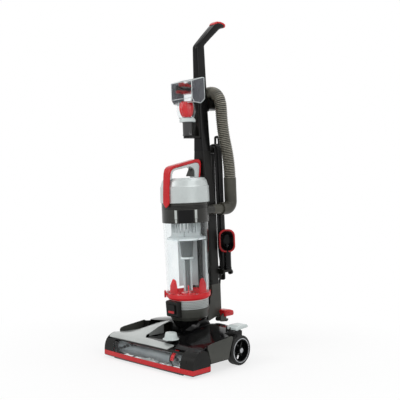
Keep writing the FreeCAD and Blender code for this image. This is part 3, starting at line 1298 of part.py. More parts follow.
def head_outline(half_w, half_h, y0, y1):
    """An oval outline facing -Y before it is turned to its stored direction."""
    corner = half_w * 0.85
    return front_plate([(-half_w, -half_h), (half_w, -half_h), (half_w, half_h),
                        (-half_w, half_h)], corner, y0, y1)


def turn_head(shape):
    shape.rotate(V(0, 0, 0), V(0, 0, 1), HEAD_TURN)
    shape.translate(V(PEG_X, PEG_Y, HEAD_Z))
    return shape


def dusting_brush():
    """The oval brush head and the neck that slips over the peg."""
    rim = head_outline(26.0, 37.0, -12.0, 0.0).cut(head_outline(20.5, 31.5, -13.0, -5.0))
    back = head_outline(22.0, 33.0, -1.0, 9.0)
    head = turn_head(rim.fuse(back))
    low = 258.0 + CLEAR
    neck = cyl((PEG_X, PEG_Y, low), (0, 0, 1), 13.0, HEAD_Z - 30.0 - low)
    shoulder = cone((PEG_X, PEG_Y, HEAD_Z - 36.0), (0, 0, 1), 13.0, 8.0, 26.0)
    bore = cyl((PEG_X, PEG_Y, low - 1), (0, 0, 1), PEG_R + 0.4, 40.0)
    face = turn_head(head_outline(20.5, 31.5, -30.0, -5.0))
    return join(head, neck, shoulder).cut(bore).cut(face)


def dusting_bristles():
    block = head_outline(20.2, 31.2, -20.0, -5.3)
    hole = head_outline(12.0, 22.0, -21.0, -4.0)
    return turn_head(block.cut(hole))


# ---------------------------------------------------------------- build and export
def build():
    keep("foot_base", foot_base())
    keep("foot_cover", foot_cover())
    keep("foot_hood", foot_hood())
    keep("window", window())
    keep("front_trim", front_trim())
    keep("nozzle_caps", nozzle_caps())
    keep("rear_fairings", rear_fairings())
    keep("sole_plate", sole_plate())
    keep("brush_bearings", brush_bearings())
    keep("drive_belt", drive_belt())
    keep("foot_fasteners", foot_fasteners())
    for name, side in (("left", -1), ("right", 1)):
        keep("tyre_" + name, tyre(side))
        keep("hub_" + name, hub(side))
    keep("height_carriage", height_carriage())
    keep("front_rollers", front_rollers())
    keep("height_knob", height_knob())
    keep("release_pedal", release_pedal())
    keep("brush_core", brush_core())
    keep("brush_tufts", brush_tufts())
    upright = [motor_rotor, motor_can, motor_housing, suction_riser, body_shell, power_pedal,
               exhaust_grille, front_badge, door_latch, bin_cup, bin_band, cyclone_shroud,
               cyclone_cone, bin_door, bin_lid, bin_filter, carry_handle, bin_latch, spine_shell,
               spine_cover, handle_pole, grip, grip_cap, hose, inlet_elbow, hose_cuff, hose_hook,
               cord_hook_lower, cord_hook_upper, strain_relief, power_lead, cord_hank,
               power_plug, tool_bracket, tool_neck, tool_housing, tool_brush, dusting_brush,
               dusting_bristles]
    for maker in upright:
        keep(maker.__name__, maker(), upright=True)


# The nodes that reach furthest each way; the cord and hose are left out of the frame.
EXTREMES = ("front_trim", "window", "nozzle_caps", "tyre_left", "tyre_right", "inlet_elbow",
            "grip", "grip_cap")


def export():
    """Centres the machine on the origin and writes one STEP file per node."""
    os.makedirs("parts", exist_ok=True)
    bodies = Part.makeCompound([NODES[n] for n in EXTREMES])
    bounds = bodies.optimalBoundingBox()
    shift = V(-bounds.Center.x, -bounds.Center.y, -bounds.ZMin)
    print("origin shift: %.3f %.3f %.3f" % tuple(shift))
    print("size: %.1f x %.1f x %.1f" % (bounds.XLength, bounds.YLength, bounds.ZLength))
    for name, shape in NODES.items():
        moved = shape.copy()
        moved.translate(shift)
        moved.exportStep("parts/%s.step" % name)
    say_route("hose", HOSE_ROUTE, HOSE_R, HOSE_BORE)
    say_route("power_lead", LEAD_ROUTE, CORD_R, 0.0)


build()
export()
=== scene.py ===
"""Upright vacuum cleaner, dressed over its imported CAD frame.

Everything is in metres in the row frame: +Z up, front towards -Y. Sizes that read as drawing sizes
are in millimetres, and the pieces of the leaning upright are drawn standing and then leaned.
"""

from __future__ import annotations

import json
import logging
import math
import random
from collections.abc import Callable, Sequence
from dataclasses import dataclass, field
from enum import Enum

import bmesh
import bpy
from mathutils import Matrix, Vector

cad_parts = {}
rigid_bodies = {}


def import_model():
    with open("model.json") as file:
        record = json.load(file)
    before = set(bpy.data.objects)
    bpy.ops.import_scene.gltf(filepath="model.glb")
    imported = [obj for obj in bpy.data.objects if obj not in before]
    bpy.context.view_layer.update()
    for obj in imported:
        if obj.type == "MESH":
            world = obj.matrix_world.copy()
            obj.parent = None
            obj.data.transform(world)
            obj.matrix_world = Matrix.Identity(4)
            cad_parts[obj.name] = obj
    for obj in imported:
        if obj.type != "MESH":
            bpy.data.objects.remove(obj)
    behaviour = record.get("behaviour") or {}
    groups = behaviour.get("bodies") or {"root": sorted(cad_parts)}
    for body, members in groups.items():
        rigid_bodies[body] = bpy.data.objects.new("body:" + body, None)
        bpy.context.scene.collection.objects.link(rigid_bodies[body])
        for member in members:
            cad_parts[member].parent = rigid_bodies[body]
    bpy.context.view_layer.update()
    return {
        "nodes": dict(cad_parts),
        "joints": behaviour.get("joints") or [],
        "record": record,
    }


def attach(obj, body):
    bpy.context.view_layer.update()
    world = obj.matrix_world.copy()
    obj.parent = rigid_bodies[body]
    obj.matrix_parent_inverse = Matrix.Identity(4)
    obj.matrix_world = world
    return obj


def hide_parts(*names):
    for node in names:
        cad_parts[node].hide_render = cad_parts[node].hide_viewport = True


LOG = logging.getLogger("vacuum")
MM = 0.001
FULLEST_CORNER = 0.95  # the largest corner radius, as a share of a bar's half width
LONGEST_CUT = 0.48  # the most of an outline's edge that one rounded corner takes
SHARPEST_MITRE = 0.35  # keeps an inset corner from shooting far out
POINT = tuple[float, float, float]
FLAT = tuple[float, float]
PLACE = Callable[[float, float, float], Vector]
# The front and rear points of a bar in the side view, and its half width there.
STATION = tuple[FLAT, FLAT, float]


# ------------------------------------------------------------------ small helpers
def linear(hexcode: str, alpha: float = 1.0) -> tuple[float, float, float, float]:
    """Turns an sRGB hex colour into linear values.

    Args:
        hexcode: six hex digits, with or without a leading hash.
        alpha: the fourth value.

    Returns:
        Four linear values from 0 to 1.
    """
    text = hexcode.lstrip("#")
    parts = [int(text[i : i + 2], 16) / 255.0 for i in (0, 2, 4)]
    red, green, blue = (c / 12.92 if c <= 0.04045 else ((c + 0.055) / 1.055) ** 2.4 for c in parts)
    return red, green, blue, alpha


def add_node(
    tree: bpy.types.NodeTree, kind: str, inputs: dict | None = None, **settings: object
) -> bpy.types.Node:
    """Adds one node with its settings and links.

    Args:
        tree: the shader or geometry tree.
        kind: the node's class name.
        inputs: socket name or number to a value, or to the output socket that feeds it.
        settings: properties of the node.

    Returns:
        The new node.
    """
    made = tree.nodes.new(kind)
    for key, value in settings.items():
        setattr(made, key, value)
    for key, value in (inputs or {}).items():
        socket = made.inputs[key]
        if isinstance(value, bpy.types.NodeSocket):
            tree.links.new(value, socket)
        else:
            socket.default_value = value
    return made


def maths(tree: bpy.types.NodeTree, operation: str, *values: object) -> bpy.types.NodeSocket:
    """Adds one Math node.

    Args:
        tree: the shader or geometry tree.
        operation: what the node does.
        values: its inputs in order, each a number or the output socket that feeds it.

    Returns:
        The node's output socket.
    """
    return add_node(tree, "ShaderNodeMath", dict(enumerate(values)), operation=operation).outputs["Value"]


def vector_maths(
    tree: bpy.types.NodeTree, operation: str, first: bpy.types.NodeSocket, second: bpy.types.NodeSocket
) -> bpy.types.NodeSocket:
    """Adds one Vector Math node.

    Args:
        tree: the geometry tree.
        operation: what the node does.
        first: its vector.
        second: its other input, which is a number for SCALE and a vector for the rest.

    Returns:
        The node's output socket.
    """
    other = "Scale" if operation == "SCALE" else 1
    made = add_node(tree, "ShaderNodeVectorMath", {0: first, other: second}, operation=operation)
    return made.outputs["Vector"]


def vector_attribute(tree: bpy.types.NodeTree, name: str) -> bpy.types.NodeSocket:
    """Adds a node that reads a vector attribute, and gives its output socket."""
    made = add_node(tree, "GeometryNodeInputNamedAttribute", {"Name": name}, data_type="FLOAT_VECTOR")
    return made.outputs["Attribute"]


def mixed(
    tree: bpy.types.NodeTree,
    share: bpy.types.NodeSocket,
    first: bpy.types.NodeSocket,
    second: bpy.types.NodeSocket,
) -> bpy.types.NodeSocket:
    """Mixes two shaders.

    Args:
        tree: the shader tree.
        share: how much of the second shows, from 0 to 1.
        first: the first shader.
        second: the second shader.

    Returns:
        The mixed shader.
    """
    return add_node(tree, "ShaderNodeMixShader", {0: share, 1: first, 2: second}).outputs["Shader"]


@dataclass(frozen=True)
class Lean:
    """The forward lean of the parked upright about its recline axis."""

    pivot: Vector
    angle: float = math.radians(3.2)
    drawn_y: float = 190.0
    drawn_z: float = 85.0

    def point(self, x: float, y: float, z: float) -> Vector:
        """Turns a point of the upright's standing drawing into the row frame.

        Args:
            x: how far across it lies, in millimetres.
            y: how far back.
            z: how high.

        Returns:
            The point in metres, leaned.
        """
        dy = (y - self.drawn_y) * MM
        dz = (z - self.drawn_z) * MM
        cos, sin = math.cos(self.angle), math.sin(self.angle)
        return Vector((x * MM, self.pivot.y + dy * cos - dz * sin, self.pivot.z + dy * sin + dz * cos))

    def flat(self, x: float, y: float, z: float) -> Vector:
        """Turns a point of the foot's drawing, in millimetres, into the row frame."""
        return Vector((x * MM, self.pivot.y + (y - self.drawn_y) * MM, z * MM))

    def turn(self) -> Matrix:
        """Gives the rotation from standing to leaned."""
        return Matrix.Rotation(self.angle, 4, "X")


@dataclass
class MeshDraft:
    """Vertices and faces being gathered for one piece, in the row frame."""

    verts: list[Vector] = field(default_factory=list)
    faces: list[tuple[int, ...]] = field(default_factory=list)

    def loft(self, rings: list[list[Vector]], cap_start: bool = True, cap_end: bool = True) -> None:
        """Joins rings of equal length with faces.

        Args:
            rings: rings of points, in order along the piece.
            cap_start: closes the first ring.
            cap_end: closes the last ring.
        """
        base = len(self.verts)
        count = len(rings[0])
        for one in rings:
            self.verts.extend(one)
        for i in range(len(rings) - 1):
            for j in range(count):
                a = base + i * count + j
                b = base + i * count + (j + 1) % count
                self.faces.append((a, b, b + count, a + count))
        if cap_start:
            self.faces.append(tuple(base + j for j in reversed(range(count))))
        if cap_end:
            last = base + (len(rings) - 1) * count
            self.faces.append(tuple(last + j for j in range(count)))

    def slab(
        self,
        outline: Sequence[FLAT],
        low: float,
        high: float,
        place: PLACE,
        edge: float = 1.0,
        steps: int = 3,
    ) -> None:
        """Pushes an outline into a slab with rounded edges.

        Args:
            outline: the closed outline, in millimetres.
            low: where the slab starts along its third direction.
            high: where it ends.
            place: turns two outline values and the third into the row frame.
            edge: the radius of its edges.
            steps: rings per rounded edge.
        """
        rings = []
        for start, way in ((low, 1.0), (high, -1.0)):
            part = []
            for i in range(steps + 1):
                a = math.pi / 2.0 * i / steps
                line = inset(outline, edge * (1.0 - math.sin(a)))
                third = start + way * edge * (1.0 - math.cos(a))
                part.append([place(x, y, third) for x, y in line])
            rings += part if way > 0 else list(reversed(part))
        self.loft(rings)

    def strap(self, pairs: Sequence[STATION], place: PLACE, edge: float) -> None:
        """Lofts a bar of rounded section between two edge lines in the side view.

        Args:
            pairs: for each station its front and rear points and its half width, in millimetres.
            place: turns across, back and up into the row frame.
            edge: the radius of the section's corners.
        """
        rings = []
        for (y0, z0), (y1, z1), half in pairs:
            deep = math.hypot(y1 - y0, z1 - z0) / 2.0
            dy, dz = (y1 - y0) / (2.0 * deep), (z1 - z0) / (2.0 * deep)
            outline = rounded_rectangle(half, deep, min(edge, half * FULLEST_CORNER, deep * FULLEST_CORNER))
            middle_y, middle_z = (y0 + y1) / 2.0, (z0 + z1) / 2.0
            rings.append([place(x, middle_y + d * dy, middle_z + d * dz) for x, d in outline])
        self.loft(rings)

    def lathe(
        self,
        profile: Sequence[FLAT],
        place: PLACE,
        count: int = 64,
        wave: FLAT = (0, 0.0),
        caps: bool = True,
    ) -> None:
        """Turns a profile about the upright axis.

        Args:
            profile: radius and height pairs, in millimetres.
            place: turns across, back and up, from the axis, into the row frame.
            count: points per ring.
            wave: how many ribs go round, and their depth as a share of the radius.
            caps: closes both ends.
        """
        rings = []
        for radius, height in profile:
            part = []
            for i in range(count):
                a = 2.0 * math.pi * i / count
                r = radius * (1.0 + wave[1] * math.cos(wave[0] * a))
                part.append(place(r * math.cos(a), r * math.sin(a), height))
            rings.append(part)
        self.loft(rings, caps, caps)

    def rod(self, start: Vector, end: Vector, radius_mm: float, sides: int = 8) -> None:
        """Adds a thin round rod with closed ends.

        Args:
            start: the middle of its first end.
            end: the middle of its other end.
            radius_mm: its radius, in millimetres.
            sides: how many flats go round it.
        """
        line = (end - start).normalized()
        u = line.orthogonal().normalized()
        v = line.cross(u)
        self.loft([circle(spot, u, v, radius_mm * MM, sides) for spot in (start, end)])

    def collar(self, profile: Sequence[FLAT], place: PLACE, count: int = 64) -> None:
        """Turns a closed profile into a ring about the upright axis."""
        self.lathe([*profile, profile[0]], place, count, caps=False)

    def piece(
        self,
        name: str,
        material: bpy.types.Material,
        body: str,
        slot: str,
        sharp: float = 35.0,
        replaces: tuple[str, ...] = (),
    ) -> bpy.types.Object:
        """Makes the object, rides it on its body and hides the CAD nodes it replaces.

        Args:
            name: the object's name.
            material: its finish.
            body: the CAD body it moves with.
            slot: the record's slot.
            sharp: edges over this angle, in degrees, stay sharp.
            replaces: CAD nodes it stands for.

        Returns:
            The new object.
        """
        mesh = bpy.data.meshes.new(name)
        mesh.from_pydata([tuple(v) for v in self.verts], [], self.faces)
        mesh.update()
        outward(mesh)
        mesh.shade_smooth()
        mesh.set_sharp_from_angle(angle=math.radians(sharp))
        return dress(bpy.data.objects.new(name, mesh), material, body, slot, replaces)


def outward(mesh: bpy.types.Mesh) -> None:
    """Turns a closed mesh's faces outwards.

    Args:
        mesh: the mesh to be changed.
    """
    work = bmesh.new()
    work.from_mesh(mesh)
    bmesh.ops.recalc_face_normals(work, faces=work.faces)
    work.to_mesh(mesh)
    work.free()


def dress(
    piece: bpy.types.Object,
    material: bpy.types.Material,
    body: str,
    slot: str,
    replaces: tuple[str, ...] = (),
) -> bpy.types.Object:
    """Links a piece, gives it its finish and rides it on its body.

    Args:
        piece: a mesh or curve object at the origin.
        material: its finish.
        body: the CAD body it moves with.
        slot: the record's slot; not used.
        replaces: CAD nodes it stands for.

    Returns:
        The same object.
    """
    if piece.name not in bpy.context.scene.collection.objects:
        bpy.context.scene.collection.objects.link(piece)
    piece.data.materials.clear()
    piece.data.materials.append(material)
    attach(piece, body)
    if replaces:
        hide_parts(*replaces)
    LOG.info("piece %s on %s", piece.name, body)
    return piece


def circle(centre: Vector, u: Vector, v: Vector, radius: float, count: int) -> list[Vector]:
    """Gives a ring of points about a centre, in the plane of u and v."""
    steps = (2.0 * math.pi * i / count for i in range(count))
    return [centre + u * (radius * math.cos(a)) + v * (radius * math.sin(a)) for a in steps]


def rounded_rectangle(half_x: float, half_y: float, radius: float, per_corner: int = 4) -> list[FLAT]:
    """Gives the outline of a rounded rectangle about the origin, anticlockwise.

    Args:
        half_x: half its width.
        half_y: half its height.
        radius: the radius of its corners.
        per_corner: steps in each corner.

    Returns:
        The outline's points.
    """
    points = []
    for sx, sy, start in ((1, 1, 0.0), (-1, 1, 90.0), (-1, -1, 180.0), (1, -1, 270.0)):
        for i in range(per_corner + 1):
            a = math.radians(start + 90.0 * i / per_corner)
            points.append(
                (sx * (half_x - radius) + radius * math.cos(a), sy * (half_y - radius) + radius * math.sin(a))
            )
    return points


def inset(outline: Sequence[FLAT], amount: float) -> list[FLAT]:
    """Moves a closed outline inwards, mitring its corners.

    Args:
        outline: the outline's points.
        amount: how far it moves.

    Returns:
        As many points as were given.
    """
    area = sum(a[0] * b[1] - b[0] * a[1] for a, b in zip(outline, outline[1:] + outline[:1]))
    way = 1.0 if area > 0 else -1.0
    moved = []
    for before, here, after in zip(outline[-1:] + outline[:-1], outline, outline[1:] + outline[:1]):
        first = Vector((here[0] - before[0], here[1] - before[1])).normalized()
        second = Vector((after[0] - here[0], after[1] - here[1])).normalized()
        normal = Vector((-first.y - second.y, first.x + second.x)) * way
        reach = max(normal.length_squared / 2.0, SHARPEST_MITRE)
        moved.append((here[0] + normal.x * amount / reach, here[1] + normal.y * amount / reach))
    return moved


def rounded(points: Sequence[POINT], per_corner: int = 5) -> list[FLAT]:
    """Rounds the corners of a closed outline.

    Args:
        points: corners, each with the radius that it is given.
        per_corner: steps in each rounded corner.

    Returns:
        The outline's points.
    """
    out: list[FLAT] = []
    for before, here, after in zip(points[-1:] + points[:-1], points, points[1:] + points[:1]):
        spot = Vector(here[:2])
        back, on = Vector(before[:2]) - spot, Vector(after[:2]) - spot
        if here[2] <= 0.0:
            out.append(tuple(spot))
            continue
        half = back.angle(on) / 2.0
        cut = min(here[2] / math.tan(half), back.length * LONGEST_CUT, on.length * LONGEST_CUT)
        start, end = spot + back.normalized() * cut, spot + on.normalized() * cut
        for i in range(per_corner + 1):
            t = i / per_corner
            out.append(tuple(start * (1 - t) ** 2 + spot * (2 * t * (1 - t)) + end * t**2))
    return out


# ------------------------------------------------------------------ finishes
@dataclass(frozen=True)
class Finish:
    """What every finish has: a name, its colour, the colour it drifts towards and its gloss."""

    name: str
    colour: str
    shade: str
    roughness: float = 0.4
    drift_mm: float = 60.0

    def tree(self) -> tuple[bpy.types.Material, bpy.types.NodeTree, bpy.types.NodeSocket]:
        """Starts a material whose nodes read Object coordinates.

        Returns:
            The material, its tree and the coordinates.
        """
        material = bpy.data.materials.new(self.name)
        material.use_nodes = True
        material.node_tree.nodes.clear()
        place = add_node(material.node_tree, "ShaderNodeTexCoord").outputs["Object"]
        return material, material.node_tree, place

    def noise(
        self, tree: bpy.types.NodeTree, place: bpy.types.NodeSocket, size_mm: float, detail: float = 3.0
    ) -> bpy.types.NodeSocket:
        """Adds a noise whose blotches are about size_mm wide, and gives its value."""
        inputs = {"Vector": place, "Scale": 1000.0 / size_mm, "Detail": detail}
        return add_node(tree, "ShaderNodeTexNoise", inputs).outputs["Fac"]

    def cells(
        self, tree: bpy.types.NodeTree, place: bpy.types.NodeSocket, size_mm: float
    ) -> bpy.types.NodeSocket:
        """Adds a pattern of cells about size_mm wide, and gives its distance."""
        inputs = {"Vector": place, "Scale": 1000.0 / size_mm}
        return add_node(tree, "ShaderNodeTexVoronoi", inputs).outputs["Distance"]

    def spread(
        self, tree: bpy.types.NodeTree, value: bpy.types.NodeSocket, low: float, high: float
    ) -> bpy.types.NodeSocket:
        """Maps the middle of a noise to a range."""
        inputs = {"Value": value, "From Min": 0.3, "From Max": 0.7, "To Min": low, "To Max": high}
        return add_node(tree, "ShaderNodeMapRange", inputs).outputs["Result"]

    def tinted(self, tree: bpy.types.NodeTree, share: bpy.types.NodeSocket) -> bpy.types.NodeSocket:
        """Runs from the colour to its shade.

        Args:
            tree: the material's tree.
            share: how far towards the shade, from 0 to 1.

        Returns:
            The colour's socket.
        """
        ramp = add_node(tree, "ShaderNodeValToRGB", {"Fac": share})
        stops = ((0.35, self.colour), (0.68, self.shade))
        for stop, (position, colour) in zip(ramp.color_ramp.elements, stops):
            stop.position = position
            stop.color = linear(colour)
        return ramp.outputs["Color"]

    def bump(
        self,
        tree: bpy.types.NodeTree,
        height: bpy.types.NodeSocket,
        depth_mm: float,
        strength: float,
    ) -> bpy.types.NodeSocket:
        """Turns a pattern into relief of depth_mm, and gives the normal."""
        inputs = {"Strength": strength, "Distance": depth_mm * MM, "Height": height}
        return add_node(tree, "ShaderNodeBump", inputs).outputs["Normal"]

    def principled(self, tree: bpy.types.NodeTree, inputs: dict[str, object]) -> bpy.types.NodeSocket:
        """Adds the surface shader and gives its output."""
        return add_node(tree, "ShaderNodeBsdfPrincipled", inputs).outputs["BSDF"]

    def finish(self, tree: bpy.types.NodeTree, shader: bpy.types.NodeSocket) -> None:
        """Feeds the material's output."""
        add_node(tree, "ShaderNodeOutputMaterial", {"Surface": shader})


@dataclass(frozen=True)
class MouldedPlastic(Finish):
    """Injection-moulded ABS: an even colour with a fine sparked grain, or a polish with faint flow marks."""

    grain_mm: float = 0.9
    grain_depth_mm: float = 0.02
    coat: float = 0.0
    specular: float = 0.5

    def build(self) -> bpy.types.Material:
        """Builds the material."""
        material, tree, place = self.tree()
        drift = self.noise(tree, place, self.drift_mm)
        grain = self.noise(tree, place, self.grain_mm, 2.0)
        handled = self.noise(tree, place, 18.0, 4.0)
        rough = self.spread(tree, handled, self.roughness * 0.85, min(1.0, self.roughness * 1.2))
        inputs = {
            "Base Color": self.tinted(tree, drift),
            "Roughness": rough,
            "Normal": self.bump(tree, grain, self.grain_depth_mm, 0.5),
            "IOR": 1.52,
            "Specular IOR Level": self.specular,
            "Coat Weight": self.coat,
            "Coat Roughness": 0.06,
        }
        self.finish(tree, self.principled(tree, inputs))
        return material


@dataclass(frozen=True)
class MetallicPaint(Finish):
    """Silver paint on ABS: fine aluminium flakes under a satin lacquer."""

    metallic: float = 0.45
    flake_mm: float = 0.7

    def build(self) -> bpy.types.Material:
        """Builds the material."""
        material, tree, place = self.tree()
        # Real flakes are 0.05 mm; they are drawn coarser so that they show.
        flakes = self.cells(tree, place, self.flake_mm)
        drift = self.noise(tree, place, self.drift_mm)
        both = maths(tree, "MULTIPLY_ADD", flakes, drift, 0.28)
        inputs = {
            "Base Color": self.tinted(tree, both),
            "Roughness": self.spread(tree, drift, self.roughness * 0.9, self.roughness * 1.15),
            "Metallic": self.metallic,
            "Normal": self.bump(tree, flakes, 0.01, 0.25),
            "Coat Weight": 0.35,
            "Coat Roughness": 0.15,
        }
        self.finish(tree, self.principled(tree, inputs))
        return material


@dataclass(frozen=True)
class ClearPlastic(Finish):
    """Moulded polycarbonate: clear or tinted, with a trace of haze, and lamps shine through it."""

    through: float = 1.0

    def build(self) -> bpy.types.Material:
        """Builds the material."""
        material, tree, place = self.tree()
        haze = self.noise(tree, place, self.drift_mm, 4.0)
        inputs = {
            "Base Color": self.tinted(tree, haze),
            "Roughness": self.spread(tree, haze, self.roughness * 0.5, self.roughness * 1.6),
            "Transmission Weight": self.through,
            "IOR": 1.2,
            "Specular IOR Level": 0.5,
        }
        solid = self.principled(tree, inputs)
        clear = add_node(tree, "ShaderNodeBsdfTransparent", {"Color": linear(self.shade)})
        ray = add_node(tree, "ShaderNodeLightPath")
        self.finish(tree, mixed(tree, ray.outputs["Is Shadow Ray"], solid, clear.outputs["BSDF"]))
        return material


@dataclass(frozen=True)
class SoftRubber(Finish):
    """Moulded rubber or PVC: a dull skin with fine scuffs and a little sheen."""

    pore_mm: float = 1.4
    depth_mm: float = 0.05

    def build(self) -> bpy.types.Material:
        """Builds the material."""
        material, tree, place = self.tree()
        scuff = self.noise(tree, place, 9.0, 6.0)
        pore = self.noise(tree, place, self.pore_mm, 2.0)
        rough = self.spread(tree, scuff, self.roughness * 0.85, min(1.0, self.roughness * 1.2))
        inputs = {
            "Base Color": self.tinted(tree, scuff),
            "Roughness": rough,
            "Normal": self.bump(tree, pore, self.depth_mm, 0.6),
            "IOR": 1.5,
            "Specular IOR Level": 0.3,
        }
        self.finish(tree, self.principled(tree, inputs))
        return material


@dataclass(frozen=True)
class RibbedVinyl(SoftRubber):
    """Stretch-hose vinyl over a wire spiral, with painted shade darkening the grooves between its crests."""

    # The colour of the painted shade in the grooves.
    groove_shade: str = "#1a1915"

    def tinted(self, tree: bpy.types.NodeTree, share: bpy.types.NodeSocket) -> bpy.types.NodeSocket:
        """Darkens the colour in the grooves with painted shade, by the hose's crest attribute.

        Args:
            tree: the material's tree.
            share: how far towards the shade, from 0 to 1.

        Returns:
            The colour's socket.
        """
        skin = super().tinted(tree, share)
        crest = add_node(tree, "ShaderNodeAttribute", attribute_name="crest", attribute_type="GEOMETRY")
        rise = {"Value": crest.outputs["Fac"], "From Min": 0.3, "From Max": 0.85}
        level = add_node(tree, "ShaderNodeMapRange", rise).outputs["Result"]
        mix = add_node(tree, "ShaderNodeMix", {0: level, 6: linear(self.groove_shade), 7: skin}, data_type="RGBA")
        return mix.outputs[2]


@dataclass(frozen=True)
class TurnedSteel(Finish):
    """Zinc-plated or turned steel: bright, with fine rings from the tool."""

    ring_mm: float = 0.8
    squeeze: float = 6.0

    def build(self) -> bpy.types.Material:
        """Builds the material."""
        material, tree, place = self.tree()
        squeezed = add_node(tree, "ShaderNodeMapping", {"Vector": place, "Scale": (self.squeeze, 1.0, 1.0)})
        rings = self.noise(tree, squeezed.outputs["Vector"], self.ring_mm * self.squeeze, 3.0)
        inputs = {
            "Base Color": self.tinted(tree, rings),
            "Roughness": self.spread(tree, rings, self.roughness * 0.7, self.roughness * 1.3),
            "Metallic": 1.0,
        }
        self.finish(tree, self.principled(tree, inputs))
        return material


@dataclass(frozen=True)
class OpenFoam(Finish):
    """Reticulated filter foam: pale, open-pored and quite dull."""

    pore_mm: float = 1.6

    def build(self) -> bpy.types.Material:
        """Builds the material."""
        material, tree, place = self.tree()
        pores = self.cells(tree, place, self.pore_mm)
        inputs = {
            "Base Color": self.tinted(tree, pores),
            "Roughness": self.roughness,
            "Normal": self.bump(tree, pores, 0.4, 0.9),
        }
        self.finish(tree, self.principled(tree, inputs))
        return material


class Slot(Enum):
    """The record's material slots."""

    BLACK_GLOSS = "black_gloss"
    BLACK_SATIN = "black_satin"
    DARK_GREY = "dark_grey"
    SILVER = "silver_plastic"
    LID_SILVER = "lid_silver"
    RED = "red_gloss"
    CLEAR = "clear_plastic"
    SMOKE = "smoke_plastic"
    TYRE = "tyre_rubber"
    HOSE = "hose_vinyl"
    STEEL = "steel"
    SOLE = "sole_steel"
    BRISTLE = "bristle"
    BELT = "belt_rubber"
    FOAM = "filter_foam"
    CORD = "cord_vinyl"
    WHITE = "white_plastic"


POLISH_MM = 0.003  # how deep the flow marks of a polished mould are

FINISHES: dict[Slot, Finish] = {
    # Deep, mirror-like black of the hood and the decks.
    Slot.BLACK_GLOSS: MouldedPlastic(
        "polished_black_abs", "#080809", "#0e0e0f", 0.12, grain_depth_mm=POLISH_MM, specular=0.15
    ),
    # Soft black with a low sheen: the pole, the covers and the hooks.
    Slot.BLACK_SATIN: MouldedPlastic("grained_black_abs", "#121211", "#1b1b19", 0.3, specular=0.14),
    # Olive charcoal of the shell and the side fairings.
    Slot.DARK_GREY: MouldedPlastic("grained_charcoal_abs", "#353632", "#40413c", 0.36, specular=0.26),
    # Cool silver with a sparkle on the foot's cover.
    Slot.SILVER: MetallicPaint("silver_painted_abs", "#9ea2a0", "#bcc1be", 0.34),
    # Paler, milkier silver of the bin's lid.
    Slot.LID_SILVER: MetallicPaint("pale_silver_painted_abs", "#a9b1b0", "#c6cccb", 0.36, metallic=0.25),
    # Bright signal red with a clean highlight.
    Slot.RED: MouldedPlastic(
        "polished_red_abs", "#b3151b", "#c41c22", 0.24, coat=0.12, grain_depth_mm=POLISH_MM, specular=0.24
    ),
    # Water-clear walls of the cup and the hood.
    Slot.CLEAR: ClearPlastic("clear_polycarbonate", "#f4f7f8", "#fbfdfd", 0.03),
    # Milky smoke grey over the brush roll.
    Slot.SMOKE: ClearPlastic("smoked_polycarbonate", "#a2a9ac", "#b6bcbf", 0.2, through=0.42),
    # Dull black tread.
    Slot.TYRE: SoftRubber("tyre_rubber", "#121211", "#1c1c1b", 0.6),
    # Warm grey crests over grooves darkened with painted shade.
    Slot.HOSE: RibbedVinyl("hose_pvc", "#7b786c", "#939083", 0.3, pore_mm=2.5, depth_mm=0.03),
    # Bright metal of pins, springs and blades.
    Slot.STEEL: TurnedSteel("turned_steel", "#8f9194", "#c4c6c9", 0.3),
    # Black paint on the sole plate and the height frame.
    Slot.SOLE: MetallicPaint("black_painted_steel", "#151516", "#202021", 0.4, metallic=0.1),
    # Stiff black tufts.
    Slot.BRISTLE: SoftRubber("nylon_bristle", "#131313", "#262626", 0.45),
    # Chalky black drive belt.
    Slot.BELT: SoftRubber("belt_rubber", "#121212", "#1f1f1f", 0.75),
    # Off-white sponge under the lid.
    Slot.FOAM: OpenFoam("filter_foam", "#cfcfc8", "#e6e6e0", 0.95),
    # Supple, near-black flex.
    Slot.CORD: SoftRubber("cord_pvc", "#0c0c0c", "#161616", 0.42, pore_mm=0.8, depth_mm=0.02),
    # Cool off-white of the knob, the release pedal and the collar.
    Slot.WHITE: MouldedPlastic(
        "polished_white_abs", "#b9c3c2", "#c8d0cf", 0.3, coat=0.2, grain_depth_mm=POLISH_MM
    ),
}

# A glowing red that the light comes through, on the bin's door and fins.
CLEAR_RED = ClearPlastic("clear_red_polycarbonate", "#d8232c", "#e5474c", 0.08, through=0.35)
# Pale clear plastic for painted highlights where thick clear walls meet.
EDGE_HIGHLIGHT_CLEAR = ClearPlastic("clear_polycarbonate_painted_edge_highlight", "#d5dadb", "#eef1f1", 0.3, through=0.3)
# A pale veil, a painted reflection on the cup's curved back wall; the dust tube's ribs share it.
CUP_PAINTED_REFLECTION = ClearPlastic("pale_clear_polycarbonate", "#cfd4d5", "#e6eaea", 0.12, through=0.6)
# Pale, milky shroud with dark slots.
PALE_SHROUD = ClearPlastic("pale_grey_polypropylene", "#c2c7c8", "#d9dddd", 0.3, through=0.45)
# Mid grey of the cyclone's cone and dust tube.
CONE_GREY = MouldedPlastic("grained_cone_grey_abs", "#515555", "#606464", 0.4, specular=0.3)
# White and red tufts that stand out against the black ones.
PALE_TUFT = SoftRubber("pale_nylon_bristle", "#d3d7d6", "#eceeee", 0.4)
RED_TUFT = SoftRubber("red_nylon_bristle", "#b3171c", "#cf2a2c", 0.4)
# Light grey roll behind the window.
ROLL_GREY = MouldedPlastic("grained_roll_grey_abs", "#74797b", "#868b8d", 0.35, specular=0.3)
# Dark olive of the hose's cuff and elbow.
ELBOW_OLIVE = MouldedPlastic("grained_olive_grey_abs", "#3b3a34", "#4a4941", 0.32, specular=0.2)
# Softer black of the band round the bin.
BAND_BLACK = MouldedPlastic(
    "soft_black_abs", "#22221f", "#2d2d29", 0.24, grain_depth_mm=POLISH_MM, specular=0.3
)
# Smoky tint in the cheeks of the turbo tool's hood.
HOOD_SMOKE = ClearPlastic("smoked_polycarbonate_cheek", "#6d6e74", "#85868b", 0.1, through=0.55)
